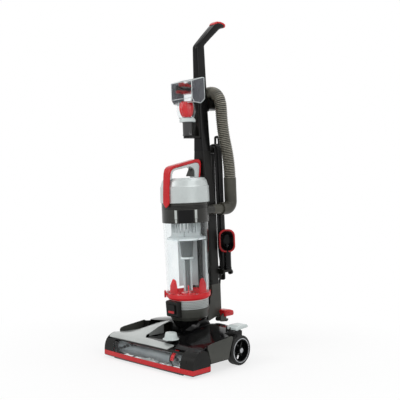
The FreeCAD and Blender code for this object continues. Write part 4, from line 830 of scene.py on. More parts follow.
# Black with strong highlights down the turbo tool's neck.
NECK_BLACK = MouldedPlastic(
    "bright_black_abs", "#141414", "#222222", 0.16, grain_depth_mm=POLISH_MM, specular=0.7
)


class Palette:
    """Builds each finish once and hands it out."""

    def __init__(self) -> None:
        """Starts with nothing built."""
        self.built: dict[str, bpy.types.Material] = {}

    def get(self, finish: Finish | Slot) -> bpy.types.Material:
        """Gives the material of a finish or of a slot.

        Args:
            finish: the finish, or the slot whose usual finish is wanted.

        Returns:
            The material, built once.
        """
        wanted = FINISHES[finish] if isinstance(finish, Slot) else finish
        if wanted.name not in self.built:
            self.built[wanted.name] = wanted.build()
        return self.built[wanted.name]


# ------------------------------------------------------------------ geometry-node trees
def socket_id(tree: bpy.types.NodeTree, name: str) -> str:
    """Gives the identifier of a tree's named input."""
    sockets = (item for item in tree.interface.items_tree if item.item_type == "SOCKET")
    return next(item.identifier for item in sockets if item.name == name)


def new_tree(name: str, sizes: dict[str, float | int]) -> tuple[bpy.types.NodeTree, bpy.types.Node]:
    """Starts a geometry tree.

    Args:
        name: the tree's name.
        sizes: named inputs and their usual values.

    Returns:
        The tree and its input node.
    """
    tree = bpy.data.node_groups.new(name, "GeometryNodeTree")
    tree.interface.new_socket("Geometry", in_out="INPUT", socket_type="NodeSocketGeometry")
    tree.interface.new_socket("Geometry", in_out="OUTPUT", socket_type="NodeSocketGeometry")
    for label, value in sizes.items():
        kind = "NodeSocketInt" if isinstance(value, int) else "NodeSocketFloat"
        tree.interface.new_socket(label, in_out="INPUT", socket_type=kind).default_value = value
    tree.interface.new_socket("Finish", in_out="INPUT", socket_type="NodeSocketMaterial")
    return tree, add_node(tree, "NodeGroupInput")


def end_tree(tree: bpy.types.NodeTree, given: bpy.types.Node, made: bpy.types.NodeSocket) -> None:
    """Ends a tree in Realize Instances and Set Material.

    Args:
        tree: the geometry tree.
        given: its input node.
        made: the geometry that the tree has made.
    """
    real = add_node(tree, "GeometryNodeRealizeInstances", {"Geometry": made})
    inputs = {"Geometry": real.outputs["Geometry"], "Material": given.outputs["Finish"]}
    painted = add_node(tree, "GeometryNodeSetMaterial", inputs)
    add_node(tree, "NodeGroupOutput", {"Geometry": painted.outputs["Geometry"]})


def grown(
    source: bpy.types.Object,
    tree: bpy.types.NodeTree,
    name: str,
    material: bpy.types.Material,
    sizes: dict[str, float | int],
) -> bpy.types.Object:
    """Runs a tree on an object and keeps the result as a plain mesh.

    Args:
        source: the mesh or curve that the tree reads; it is removed.
        tree: the geometry tree.
        name: the new object's name.
        material: the finish for the Finish input.
        sizes: values of the tree's named inputs.

    Returns:
        A mesh object at the origin, not yet linked.
    """
    if source.name not in bpy.context.scene.collection.objects:
        bpy.context.scene.collection.objects.link(source)
    modifier = source.modifiers.new("grow", "NODES")
    modifier.node_group = tree
    for label, value in sizes.items():
        modifier[socket_id(tree, label)] = value
    modifier[socket_id(tree, "Finish")] = material
    graph = bpy.context.evaluated_depsgraph_get()
    mesh = bpy.data.meshes.new_from_object(source.evaluated_get(graph))
    mesh.name = name
    bpy.data.objects.remove(source)
    return bpy.data.objects.new(name, mesh)


def ribbed_tube_tree() -> bpy.types.NodeTree:
    """A tube along a curve whose radius swells once each pitch: a stretch hose."""
    sizes = {"Radius": 0.02, "Rib depth": 0.0015, "Rib pitch": 0.006, "Steps per rib": 6, "Sides": 28}
    tree, given = new_tree("ribbed_tube", sizes)
    line, steps = given.outputs["Geometry"], given.outputs["Steps per rib"]
    length = add_node(tree, "GeometryNodeCurveLength", {"Curve": line}).outputs["Length"]
    ribs = maths(tree, "ROUND", maths(tree, "DIVIDE", length, given.outputs["Rib pitch"]))
    count = maths(tree, "MULTIPLY", ribs, steps)
    fine = add_node(tree, "GeometryNodeResampleCurve", {"Curve": line, "Count": count})
    turns = maths(tree, "MULTIPLY", add_node(tree, "GeometryNodeSplineParameter").outputs["Factor"], ribs)
    wave = maths(tree, "SINE", maths(tree, "MULTIPLY", turns, 2.0 * math.pi))
    # The crest runs from -1 in a groove to 0 on a rib, so that the ribs keep the hose's outer size.
    crest = maths(tree, "MULTIPLY_ADD", wave, 0.5, -0.5)
    swell = maths(tree, "MULTIPLY", crest, given.outputs["Rib depth"])
    radius = maths(tree, "ADD", given.outputs["Radius"], swell)
    # The stored crest value lets the hose's finish paint shade into its grooves.
    kept = add_node(
        tree,
        "GeometryNodeStoreNamedAttribute",
        {"Geometry": fine.outputs["Curve"], "Name": "crest", "Value": maths(tree, "ADD", crest, 1.0)},
        data_type="FLOAT",
        domain="POINT",
    )
    wide = {"Curve": kept.outputs["Geometry"], "Radius": radius}
    sized = add_node(tree, "GeometryNodeSetCurveRadius", wide)
    around = {"Resolution": given.outputs["Sides"], "Radius": 1.0}
    ring = add_node(tree, "GeometryNodeCurvePrimitiveCircle", around, mode="RADIUS")
    tube = add_node(
        tree,
        "GeometryNodeCurveToMesh",
        {
            "Curve": sized.outputs["Curve"],
            "Profile Curve": ring.outputs["Curve"],
            "Scale": radius,
            "Fill Caps": True,
        },
    )
    smooth = add_node(tree, "GeometryNodeSetShadeSmooth", {"Geometry": tube.outputs["Mesh"]})
    end_tree(tree, given, smooth.outputs["Geometry"])
    return tree


def bristle_tree() -> bpy.types.NodeTree:
    """A tuft of tapered bristles on each point, along the point's outward attribute."""
    tree, given = new_tree(
        "bristle_tufts",
        {"Length": 0.01, "Thickness": 0.0003, "Tuft radius": 0.003, "Per tuft": 24, "Splay": 0.18, "Seed": 7},
    )
    points = add_node(tree, "GeometryNodeMeshToPoints", {"Mesh": given.outputs["Geometry"], "Radius": 0.001})
    many = add_node(
        tree,
        "GeometryNodeDuplicateElements",
        {"Geometry": points.outputs["Points"], "Amount": given.outputs["Per tuft"]},
        domain="POINT",
    )
    number = add_node(tree, "GeometryNodeInputIndex").outputs["Index"]
    outward_of = vector_attribute(tree, "outward")
    scatter = add_node(
        tree,
        "FunctionNodeRandomValue",
        {"Min": (-1.0, -1.0, -1.0), "Max": (1.0, 1.0, 1.0), "ID": number, "Seed": given.outputs["Seed"]},
        data_type="FLOAT_VECTOR",
    ).outputs[0]
    offset = vector_maths(tree, "SCALE", scatter, given.outputs["Tuft radius"])
    across = vector_maths(tree, "SUBTRACT", offset, vector_maths(tree, "PROJECT", offset, outward_of))
    moved = {"Geometry": many.outputs["Geometry"], "Offset": across}
    placed = add_node(tree, "GeometryNodeSetPosition", moved)
    splay = vector_maths(tree, "SCALE", scatter, given.outputs["Splay"])
    splayed = vector_maths(tree, "ADD", outward_of, splay)
    turn = add_node(tree, "FunctionNodeAlignRotationToVector", {"Vector": splayed}, axis="Z")
    uneven = add_node(
        tree,
        "FunctionNodeRandomValue",
        {"Min": 0.88, "Max": 1.0, "ID": number, "Seed": given.outputs["Seed"]},
        data_type="FLOAT",
    )
    spike = add_node(
        tree,
        "GeometryNodeMeshCone",
        {
            "Vertices": 4,
            "Side Segments": 1,
            "Fill Segments": 1,
            "Radius Top": 0.00008,
            "Radius Bottom": given.outputs["Thickness"],
            "Depth": given.outputs["Length"],
        },
    )
    stood = add_node(
        tree,
        "GeometryNodeInstanceOnPoints",
        {
            "Points": placed.outputs["Geometry"],
            "Instance": spike.outputs["Mesh"],
            "Rotation": turn.outputs["Rotation"],
            "Scale": uneven.outputs[1],
        },
    )
    end_tree(tree, given, stood.outputs["Instances"])
    return tree


def studs_tree() -> bpy.types.NodeTree:
    """A small flat stud on each point, along the point's outward attribute, such as the painted shade in a
    hole's mouth.
    """
    tree, given = new_tree("studs", {"Radius": 0.001, "Height": 0.0004, "Sides": 8})
    points = add_node(tree, "GeometryNodeMeshToPoints", {"Mesh": given.outputs["Geometry"], "Radius": 0.001})
    faced = {"Vector": vector_attribute(tree, "outward")}
    first = add_node(tree, "FunctionNodeAlignRotationToVector", faced, axis="Z").outputs["Rotation"]
    turn = add_node(
        tree,
        "FunctionNodeAlignRotationToVector",
        {"Rotation": first, "Vector": vector_attribute(tree, "along")},
        axis="X",
        pivot_axis="Z",
    )
    stud = add_node(
        tree,
        "GeometryNodeMeshCylinder",
        {
            "Vertices": given.outputs["Sides"],
            "Side Segments": 1,
            "Fill Segments": 1,
            "Radius": given.outputs["Radius"],
            "Depth": given.outputs["Height"],
        },
    )
    stood = add_node(
        tree,
        "GeometryNodeInstanceOnPoints",
        {
            "Points": points.outputs["Points"],
            "Instance": stud.outputs["Mesh"],
            "Rotation": turn.outputs["Rotation"],
        },
    )
    end_tree(tree, given, stood.outputs["Instances"])
    return tree


def seeds(name: str, spots: list[tuple[Vector, Vector, Vector]]) -> bpy.types.Object:
    """Makes the points that a tree grows things on.

    Args:
        name: a name for the mesh.
        spots: for each point its place, its outward direction and the direction it is turned along.

    Returns:
        A mesh object of loose points with the outward and along attributes.
    """
    mesh = bpy.data.meshes.new(name)
    mesh.from_pydata([tuple(place) for place, _, _ in spots], [], [])
    for label, column in (("outward", 1), ("along", 2)):
        attribute = mesh.attributes.new(label, "FLOAT_VECTOR", "POINT")
        attribute.data.foreach_set("vector", [c for spot in spots for c in spot[column]])
    return bpy.data.objects.new(name, mesh)


@dataclass
class Trees:
    """The geometry trees, built once."""

    tube: bpy.types.NodeTree = field(default_factory=ribbed_tube_tree)
    bristles: bpy.types.NodeTree = field(default_factory=bristle_tree)
    studs: bpy.types.NodeTree = field(default_factory=studs_tree)


# ------------------------------------------------------------------ camera, light and floor
@dataclass(frozen=True)
class Lamp:
    """A soft square lamp: where it stands, what it faces, its side in metres and its power in watts."""

    name: str
    place: POINT
    aim: POINT
    side: float
    watts: float

    def build(self) -> None:
        """Hangs the lamp and points it at its aim."""
        data = bpy.data.lights.new(self.name, "AREA")
        data.size = self.side
        data.energy = self.watts
        made = bpy.data.objects.new(self.name, data)
        made.location = self.place
        made.rotation_euler = (Vector(self.aim) - Vector(self.place)).to_track_quat("-Z", "Y").to_euler()
        bpy.context.scene.collection.objects.link(made)


@dataclass
class Studio:
    """The camera, the soft lamps and the pale floor."""

    yaw_deg: float = 43.0
    eye: POINT = (1.3886, -1.42604, 0.4878)
    lens: float = 57.6
    lamps: tuple[Lamp, ...] = (
        Lamp("key", (-0.9, -2.6, 2.3), (0.0, 0.0, 0.5), 1.6, 34.0),
        Lamp("fill", (2.6, -0.4, 1.5), (0.0, 0.0, 0.45), 1.8, 19.0),
        Lamp("top", (0.2, 0.6, 2.8), (0.0, 0.0, 0.6), 1.4, 20.0),
    )
    surround: float = 0.55
    floor_half: float = 14.0
    floor_grey: float = 0.93
    fade: FLAT = (0.3, 0.95)
    fade_start: float = 0.7

    def camera(self) -> None:
        """Puts the camera level at eye height."""
        made = bpy.data.objects.new("camera", bpy.data.cameras.new("camera"))
        made.data.lens = self.lens
        made.data.sensor_width = 36.0
        made.location = self.eye
        made.rotation_euler = (math.pi / 2.0, 0.0, math.radians(self.yaw_deg))
        bpy.context.scene.collection.objects.link(made)
        bpy.context.scene.camera = made

    def lights(self) -> None:
        """Adds the lamps and the even white surround."""
        for lamp in self.lamps:
            lamp.build()
        world = bpy.data.worlds.new("studio")
        world.use_nodes = True
        tree = world.node_tree
        tree.nodes.clear()
        fill, white = (
            add_node(tree, "ShaderNodeBackground", {"Color": (1, 1, 1, 1), "Strength": level})
            for level in (self.surround, 1.0)
        )
        both = mixed(tree, self.seen(tree), fill.outputs["Background"], white.outputs["Background"])
        add_node(tree, "ShaderNodeOutputWorld", {"Surface": both})
        bpy.context.scene.world = world

    def seen(self, tree: bpy.types.NodeTree) -> bpy.types.NodeSocket:
        """Finds the rays that show a background: camera, glossy and transmission rays.

        Args:
            tree: the shader tree.

        Returns:
            A socket that gives 1 for those rays and 0 for the rest.
        """
        ray = add_node(tree, "ShaderNodeLightPath").outputs
        first = maths(tree, "MAXIMUM", ray["Is Camera Ray"], ray["Is Glossy Ray"])
        return maths(tree, "MAXIMUM", first, ray["Is Transmission Ray"])

    def floor(self) -> None:
        """Lays a pale floor that keeps the shadow near the machine and fades to white far away."""
        mesh = bpy.data.meshes.new("floor")
        size = self.floor_half
        corners = [(-size, -size, 0), (size, -size, 0), (size, size, 0), (-size, size, 0)]
        mesh.from_pydata(corners, [], [(0, 1, 2, 3)])
        plane = bpy.data.objects.new("floor", mesh)
        bpy.context.scene.collection.objects.link(plane)
        material = bpy.data.materials.new("painted_studio_floor")
        material.use_nodes = True
        tree = material.node_tree
        tree.nodes.clear()
        place = add_node(tree, "ShaderNodeTexCoord").outputs["Object"]
        away = add_node(tree, "ShaderNodeVectorMath", {0: place}, operation="LENGTH").outputs["Value"]
        fade = add_node(
            tree,
            "ShaderNodeMapRange",
            {"Value": away, "From Min": self.fade[0], "From Max": self.fade[1], "To Min": self.fade_start},
            interpolation_type="SMOOTHSTEP",
        )
        share = maths(tree, "MULTIPLY", fade.outputs["Result"], self.seen(tree))
        colour = (self.floor_grey, self.floor_grey, self.floor_grey, 1.0)
        matt = add_node(tree, "ShaderNodeBsdfDiffuse", {"Color": colour})
        white = add_node(tree, "ShaderNodeEmission", {"Color": (1, 1, 1, 1), "Strength": 1.0})
        both = mixed(tree, share, matt.outputs["BSDF"], white.outputs["Emission"])
        add_node(tree, "ShaderNodeOutputMaterial", {"Surface": both})
        mesh.materials.append(material)


# ------------------------------------------------------------------ the machine's own pieces
@dataclass
class Shop:
    """What every sub-assembly needs: the lean, the finishes and the trees."""

    lean: Lean
    palette: Palette
    trees: Trees
    nodes: dict[str, bpy.types.Object]

    def grow(
        self,
        source: bpy.types.Object,
        tree: bpy.types.NodeTree,
        name: str,
        finish: Slot | Finish,
        body: str,
        sizes: dict[str, float | int],
        slot: Slot | None = None,
        replaces: tuple[str, ...] = (),
    ) -> bpy.types.Object:
        """Grows a piece from seeds or a curve and dresses it.

        Args:
            source: the points or the line that the tree reads.
            tree: the geometry tree.
            name: the piece's name.
            finish: its finish.
            body: the CAD body it moves with.
            sizes: values of the tree's named inputs.
            slot: the record's slot, where it isn't the finish's own.
            replaces: CAD nodes it stands for.

        Returns:
            The new object.
        """
        material = self.palette.get(finish)
        made = grown(source, tree, name, material, sizes)
        return dress(made, material, body, self.slot_of(finish, slot), replaces)

    def slot_of(self, finish: Slot | Finish, slot: Slot | None) -> str:
        """Gives the slot that is named, or else the finish's own, or else the satin black one."""
        named = slot or (finish if isinstance(finish, Slot) else Slot.BLACK_SATIN)
        return named.value

    def about(self, x: float, y: float) -> PLACE:
        """Gives the placing of a piece that is turned about an upright axis at x and y."""
        return lambda across, back, up: self.lean.point(x + across, y + back, up)

    def side(self) -> PLACE:
        """Gives the placing of a slab drawn from the side of the upright: back, up and across."""
        return lambda back, up, across: self.lean.point(across, back, up)

    def keep(
        self,
        draft: MeshDraft,
        name: str,
        finish: Slot | Finish,
        body: str,
        slot: Slot | None = None,
        replaces: tuple[str, ...] = (),
        sharp: float = 35.0,
    ) -> bpy.types.Object:
        """Makes a draft into a dressed piece.

        Args:
            draft: its vertices and faces.
            name: the piece's name.
            finish: its finish.
            body: the CAD body it moves with.
            slot: the record's slot, where it isn't the finish's own.
            replaces: CAD nodes it stands for.
            sharp: edges over this angle, in degrees, stay sharp.

        Returns:
            The new object.
        """
        material = self.palette.get(finish)
        return draft.piece(name, material, body, self.slot_of(finish, slot), sharp, replaces)

    def curve(self, name: str, points: list[Vector], radius: float) -> bpy.types.Object:
        """Makes a smooth line through one NURBS spline, in the row frame.

        Args:
            name: the curve's name.
            points: its control points.
            radius: half the cord's diameter, or 0 for a bare line.

        Returns:
            A curve object at the origin, not yet linked.
        """
        data = bpy.data.curves.new(name, "CURVE")
        data.dimensions = "3D"
        data.resolution_u = 10
        data.bevel_depth = radius
        data.bevel_resolution = 4
        data.use_fill_caps = True
        spline = data.splines.new("NURBS")
        spline.points.add(len(points) - 1)
        for spot, point in zip(spline.points, points):
            spot.co = (*point, 1.0)
        spline.order_u = 3
        spline.use_endpoint_u = True
        return bpy.data.objects.new(name, data)


@dataclass
class StretchHose:
    """The ribbed hose that arches over its hook behind the pole."""

    shop: Shop
    radius_mm: float = 19.6
    rib_depth_mm: float = 2.2
    rib_pitch_mm: float = 5.6
    route: tuple[POINT, ...] = (
        (50, 346, 552),
        (50, 346, 606),
        (46, 322, 706),
        (45, 320, 828),
        (-45, 320, 828),
        (-46, 322, 700),
        (-46, 316, 590),
        (-60, 308, 480),
        (-62, 296, 385),
        (-58, 278, 319),
        (-58, 278, 284),
    )

    def build(self) -> None:
        points = [self.shop.lean.point(*p) for p in self.route]
        line = self.shop.curve("hose_line", points, 0.0)
        path = self.line_points(line)
        tube = self.shop.grow(
            line,
            self.shop.trees.tube,
            "stretch_hose",
            Slot.HOSE,
            "upright",
            {
                "Radius": self.radius_mm * MM,
                "Rib depth": self.rib_depth_mm * MM,
                "Rib pitch": self.rib_pitch_mm * MM,
                "Steps per rib": 6,
                "Sides": 28,
            },
            replaces=("hose",),
        )
        length = sum((b - a).length for a, b in zip(path, path[1:]))
        tuple(points[0])
        [tuple(p) for p in path]

    def line_points(self, line: bpy.types.Object) -> list[Vector]:
        """Measures the route's smooth spline.

        Args:
            line: the curve, which stays unlinked.

        Returns:
            The spline's points, in order.
        """
        bpy.context.scene.collection.objects.link(line)
        graph = bpy.context.evaluated_depsgraph_get()
        mesh = bpy.data.meshes.new_from_object(line.evaluated_get(graph))
        bpy.context.scene.collection.objects.unlink(line)
        points = [v.co.copy() for v in mesh.vertices]
        bpy.data.meshes.remove(mesh)
        return points


@dataclass
class WoundCord:
    """The power cord: its strain relief, its lead, seven turns round the two hooks, and its plug."""

    shop: Shop
    diameter_mm: float = 6.8
    turns: int = 7
    low: float = 255.0
    top: float = 640.0
    relief_end: POINT = (0, 305.8, 163.5)
    relief_length: float = 24.0
    groove_start: float = 12.7
    groove_pitch: float = 1.9
    first_points: tuple[POINT, ...] = ((0, 331, 188.7), (4, 330, 214), (13, 325, 238), (20.0, 322, 268))
    last_points: tuple[POINT, ...] = (
        (19.5, 337.5, 290),
        (15.5, 345.0, 322),
        (8.0, 350.2, 356),
        (1.2, 351.6, 388),
        (0, 351.3, 418),
    )
    slots: tuple[FLAT, ...] = (
        (12.9, 321.4),
        (12.9, 327.8),
        (12.9, 334.2),
        (12.9, 340.5),
        (20.2, 340.5),
        (20.2, 334.1),
        (20.2, 327.6),
    )
    # Height, half width, half depth and middle of each station up the plug.
    plug_stations: tuple[tuple[float, float, float, float], ...] = (
        (418.0, 4.2, 4.2, 351.3),
        (420.0, 4.9, 4.9, 351.3),
        (421.2, 4.2, 4.2, 351.3),
        (423.2, 5.3, 5.2, 351.4),
        (424.4, 4.6, 4.6, 351.4),
        (426.6, 5.9, 5.6, 351.6),
        (428.0, 5.2, 5.0, 351.8),
        (430.5, 7.4, 6.6, 352.2),
        (434.0, 8.8, 7.8, 352.6),
        (446.0, 9.4, 8.2, 353.0),
        (450.0, 9.2, 8.0, 353.0),
        (453.0, 10.4, 8.6, 353.2),
        (464.0, 10.8, 8.8, 353.3),
        (465.6, 10.2, 8.2, 353.3),
    )

    def route(self) -> list[Vector]:
        """Gives the control points of the whole cord, from the relief to the plug."""
        rng = random.Random(11)
        points: list[POINT] = [self.relief_end, *self.first_points]
        for number, (x, y) in enumerate(self.slots):
            nx, ny = self.slots[min(number + 1, self.turns - 1)]
            if number:
                points.append((x, y, self.low + 22))
            points.extend(self.run(x, y, 1, rng, number))
            points.extend(self.bend(x, y, x, y, self.top, 1))
            points.extend(self.run(x, y, -1, rng, number))
            if number < self.turns - 1:
                points.extend(self.bend(-x, y, nx, ny, self.low, -1))
        x, y = self.slots[-1]
        points.extend(self.bend(-x, y, 19.0, 334.0, self.low, -1))
        points.extend(self.last_points)
        return [self.shop.lean.point(*p) for p in points]

    def run(self, x: float, y: float, way: int, rng: random.Random, number: int) -> list[POINT]:
        """Draws one long run, a little slack in its middle.

        Args:
            x: how far it lies from the middle.
            y: how far back it lies.
            way: 1 for a run up at +X, -1 for a run down at -X.
            rng: the cord's own random numbers.
            number: which turn it belongs to.

        Returns:
            Its points, in order.
        """
        heights = [self.low + up for up in (62, 130, 200, 268)] + [self.top - down for down in (62, 26)]
        if way < 0:
            heights = list(reversed(heights))
        out = []
        for z in heights:
            slack = math.sin(math.pi * (z - self.low) / (self.top - self.low))
            wander = rng.uniform(-0.9, 0.9) * slack
            bow = (1.6 if number >= 4 else 0.3) * slack
            out.append((way * (x + wander * 0.5 + bow), y + wander * 0.4, z))
        return out

    def bend(self, x0: float, y0: float, x1: float, y1: float, centre: float, way: int) -> list[POINT]:
        """Draws a half turn round a hook, from side to side.

        Args:
            x0: how far it starts from the middle.
            y0: how far back it starts.
            x1: how far it ends from the middle.
            y1: how far back it ends.
            centre: the height of the hook's middle.
            way: 1 over the top hook, -1 under the low one.

        Returns:
            Its points, in order.
        """
        out = []
        for i in range(1, 6):
            share = i / 6.0
            radius = (abs(x0) * (1 - share) + abs(x1) * share) * 1.035
            angle = math.pi * share
            side = math.cos(angle) * (1 if way > 0 else -1)
            out.append((side * radius, y0 + (y1 - y0) * share, centre + way * radius * math.sin(angle)))
        return out

    def build(self) -> None:
        """Builds the cord, its relief and its plug."""
        radius = self.diameter_mm * MM / 2.0
        points = self.route()
        cord = self.shop.curve("power_cord", points, radius)
        dress(cord, self.shop.palette.get(Slot.CORD), "upright", Slot.CORD.value, ("power_lead", "cord_hank"))
        body, blades = self.plug()
        relief = self.relief()
        tuple(points[0])

    def relief(self) -> bpy.types.Object:
        """Builds the tapered strain relief with its rings."""
        lean = self.shop.lean
        end = lean.point(*self.relief_end)
        line = (lean.turn() @ Vector((0.0, 1.0, 1.0))).normalized()
        u = Vector((1.0, 0.0, 0.0))
        v = line.cross(u)
        draft = MeshDraft()
        rings = []
        stations = [(0.0, 6.2), (8.4, 5.9), (8.6, 7.4), (12.4, 7.2), (12.7, 5.5)]
        z = self.groove_start
        while z < self.relief_length - 2.2:
            wide = 5.6 - 1.2 * (z - self.groove_start) / 11.0
            stations += [(z + 0.2, wide), (z + 1.1, wide), (z + 1.25, wide - 0.9), (z + 1.8, wide - 0.9)]
            z += self.groove_pitch
        stations += [(self.relief_length - 0.6, 4.5), (self.relief_length, 4.0)]
        for along, wide in stations:
            centre = end + line * ((along - self.relief_length) * MM)
            rings.append(circle(centre, u, v, wide * MM, 24))
        draft.loft(rings)
        return self.shop.keep(
            draft, "cord_strain_relief", Slot.CORD, "upright", None, ("strain_relief",), 40.0
        )

    def plug(self) -> tuple[bpy.types.Object, bpy.types.Object]:
        """Builds the moulded plug body and its two flat blades."""
        lean = self.shop.lean
        draft = MeshDraft()
        rings = []
        for z, half_x, half_y, mid in self.plug_stations:
            outline = rounded_rectangle(half_x, half_y, min(half_x, half_y) * 0.72, 5)
            rings.append([lean.point(x, mid + y, z) for x, y in outline])
        draft.loft(rings)
        body = self.shop.keep(draft, "mains_plug", Slot.CORD, "upright", None, ("power_plug",), 40.0)
        draft = MeshDraft()
        for x in (-6.3, 6.3):
            rings = []
            for z, scale in ((464.5, 1.0), (480.5, 1.0), (482.0, 0.8)):
                outline = rounded_rectangle(0.8, 3.0 * scale, 0.25, 2)
                rings.append([lean.point(x + a, 353.3 + b, z) for a, b in outline])
            draft.loft(rings)
        return body, self.shop.keep(draft, "plug_blades", Slot.STEEL, "upright")


@dataclass
class BrushRoll:
    """The bristle tufts of the main brush roll, in two opposed spirals, and the red guard over its belt."""

    shop: Shop
    axis_y: float = 36.0
    axis_z: float = 32.0
    core_mm: float = 17.0
    tip_mm: float = 27.0
    half_mm: float = 149.0
    belt_x: float = 84.0
    belt_half: float = 9.5
    per_row: int = 22

    def build(self) -> None:
        """Grows the tufts where the CAD's plain ones stand."""
        for number, (start, finish) in enumerate(((0.0, Slot.BRISTLE), (180.0, PALE_TUFT))):
            self.shop.grow(
                seeds(f"tuft_points_{number}", self.spots(start)),
                self.shop.trees.bristles,
                f"brush_bristles_{number}",
                finish,
                "brush_roll",
                {
                    "Length": (self.tip_mm - self.core_mm) * MM,
                    "Thickness": 0.00045,
                    "Tuft radius": 0.0034,
                    "Per tuft": 34,
                    "Splay": 0.12,
                    "Seed": 3 + number,
                },
                Slot.BRISTLE,
                ("brush_tufts",),
            )
        self.guard()

    def spots(self, start: float) -> list[tuple[Vector, Vector, Vector]]:
        """Places one spiral of tufts, clear of the belt.

        Args:
            start: the angle at which the spiral starts, in degrees.

        Returns:
            The tufts' roots on the core, with their directions.
        """
        spots = []
        for i in range(self.per_row):
            x = -self.half_mm + 7.0 + i * (2 * self.half_mm - 14.0) / (self.per_row - 1)
            if abs(x - self.belt_x) < self.belt_half:
                continue
            angle = math.radians(start + 35.0 + abs(x) * 1.1)
            out = Vector((0.0, math.cos(angle), math.sin(angle)))
            place = self.shop.lean.flat(x, self.axis_y, self.axis_z) + out * (self.core_mm * MM)
            spots.append((place, out, Vector((1.0, 0.0, 0.0))))
        return spots

    def guard(self) -> None:
        """Builds the curved red guard over the belt, seen through the window."""
        draft = MeshDraft()
        rings = []
        for i in range(15):
            a = math.radians(78.0 + 96.0 * i / 14.0)
            ring = []
            for x, radius in ((96, 28.2), (108, 28.2), (108, 29.8), (96, 29.8)):
                y = self.axis_y + radius * math.cos(a)
                ring.append(self.shop.lean.flat(x, y, self.axis_z + radius * math.sin(a)))
            rings.append(ring)
        draft.loft(rings)
        self.shop.keep(draft, "belt_guard", Slot.RED, "foot")


@dataclass
class DustingBrush:
    """The bristles of the oval dusting brush stored behind the bin."""

    shop: Shop
    peg: FLAT = (44.0, 326.0)
    middle_z: float = 350.0
    turn_deg: float = 48.0
    half_w: float = 20.2
    half_h: float = 31.2
    squareness: float = 0.72

    def spot(self, across: float, depth: float, up: float) -> Vector:
        """Turns a place on the head into the row frame.

        Args:
            across: how far across the head it lies, in millimetres.
            depth: how far back from its rim's face.
            up: how far above its middle.

        Returns:
            The point in the row frame.
        """
        a = math.radians(self.turn_deg)
        x = self.peg[0] + across * math.cos(a) - depth * math.sin(a)
        y = self.peg[1] + across * math.sin(a) + depth * math.cos(a)
        return self.shop.lean.point(x, y, self.middle_z + up)

    def build(self) -> None:
        """Grows an oval crown of bristles inside the rim."""
        a = math.radians(self.turn_deg)
        out = (self.shop.lean.turn() @ Vector((math.sin(a), -math.cos(a), 0.0))).normalized()
        spots = []
        for ring in range(4):
            margin = 2.0 + 2.1 * ring
            rx, rz = self.half_w - margin, self.half_h - margin
            count = int(2 * math.pi * math.sqrt((rx * rx + rz * rz) / 2.0) / 3.0)
            for i in range(count):
                t = 2 * math.pi * (i + 0.5 * (ring % 2)) / count
                x = rx * math.copysign(abs(math.cos(t)) ** self.squareness, math.cos(t))
                z = rz * math.copysign(abs(math.sin(t)) ** self.squareness, math.sin(t))
                spots.append((self.spot(x, -12.6, z), out, Vector((0.0, 0.0, 1.0))))
        self.shop.grow(
            seeds("crown_points", spots),
            self.shop.trees.bristles,
            "dusting_bristle_crown",
            Slot.BRISTLE,
            "dusting_tool",
            {
                "Length": 0.0146,
                "Thickness": 0.00035,
                "Tuft radius": 0.0014,
                "Per tuft": 16,
                "Splay": 0.1,
                "Seed": 5,
            },
            replaces=("dusting_bristles",),
        )


@dataclass
class GripEnd:
    """The bent hand grip that carries on the pole's line, and its red end strip."""

    shop: Shop
    grip: tuple[STATION, ...] = (
        ((255.0, 962.3), (293.0, 962.3), 11.2),
        ((255.6, 967.0), (292.6, 969.0), 11.4),
        ((258.6, 973.0), (291.8, 973.0), 11.8),
        ((264.5, 979.5), (295.0, 977.0), 12.1),
        ((300.0, 1012.5), (321.5, 999.0), 12.4),
        ((344.0, 1052.0), (366.0, 1034.5), 12.5),
        ((356.0, 1058.5), (378.0, 1041.5), 12.5),
        ((371.0, 1060.0), (388.0, 1044.5), 12.3),
        ((387.0, 1058.0), (394.5, 1048.0), 11.6),
        ((393.0, 1056.0), (396.0, 1051.0), 10.0),
    )
    strip: tuple[STATION, ...] = (
        ((339.0, 1049.0), (341.0, 1046.5), 9.0),
        ((346.0, 1055.6), (351.0, 1050.0), 12.7),
        ((356.0, 1060.6), (360.0, 1054.0), 12.9),
        ((371.0, 1061.9), (372.0, 1054.0), 12.9),
        ((387.0, 1060.6), (385.0, 1052.0), 12.7),
        ((396.0, 1056.8), (389.0, 1049.0), 12.3),
        ((398.6, 1051.0), (388.0, 1045.0), 11.5),
        ((396.0, 1045.8), (387.0, 1043.0), 9.5),
    )

    def build(self) -> None:
        """Builds the grip and the strip."""
        draft = MeshDraft()
        draft.strap(self.grip, self.shop.lean.point, 6.5)
        self.shop.keep(draft, "hand_grip", Slot.BLACK_GLOSS, "upright", Slot.BLACK_SATIN, ("grip",), 50.0)
        draft = MeshDraft()
        draft.strap(self.strip, self.shop.lean.point, 3.4)
        self.shop.keep(draft, "grip_end_strip", Slot.RED, "upright", None, ("grip_cap",), 50.0)


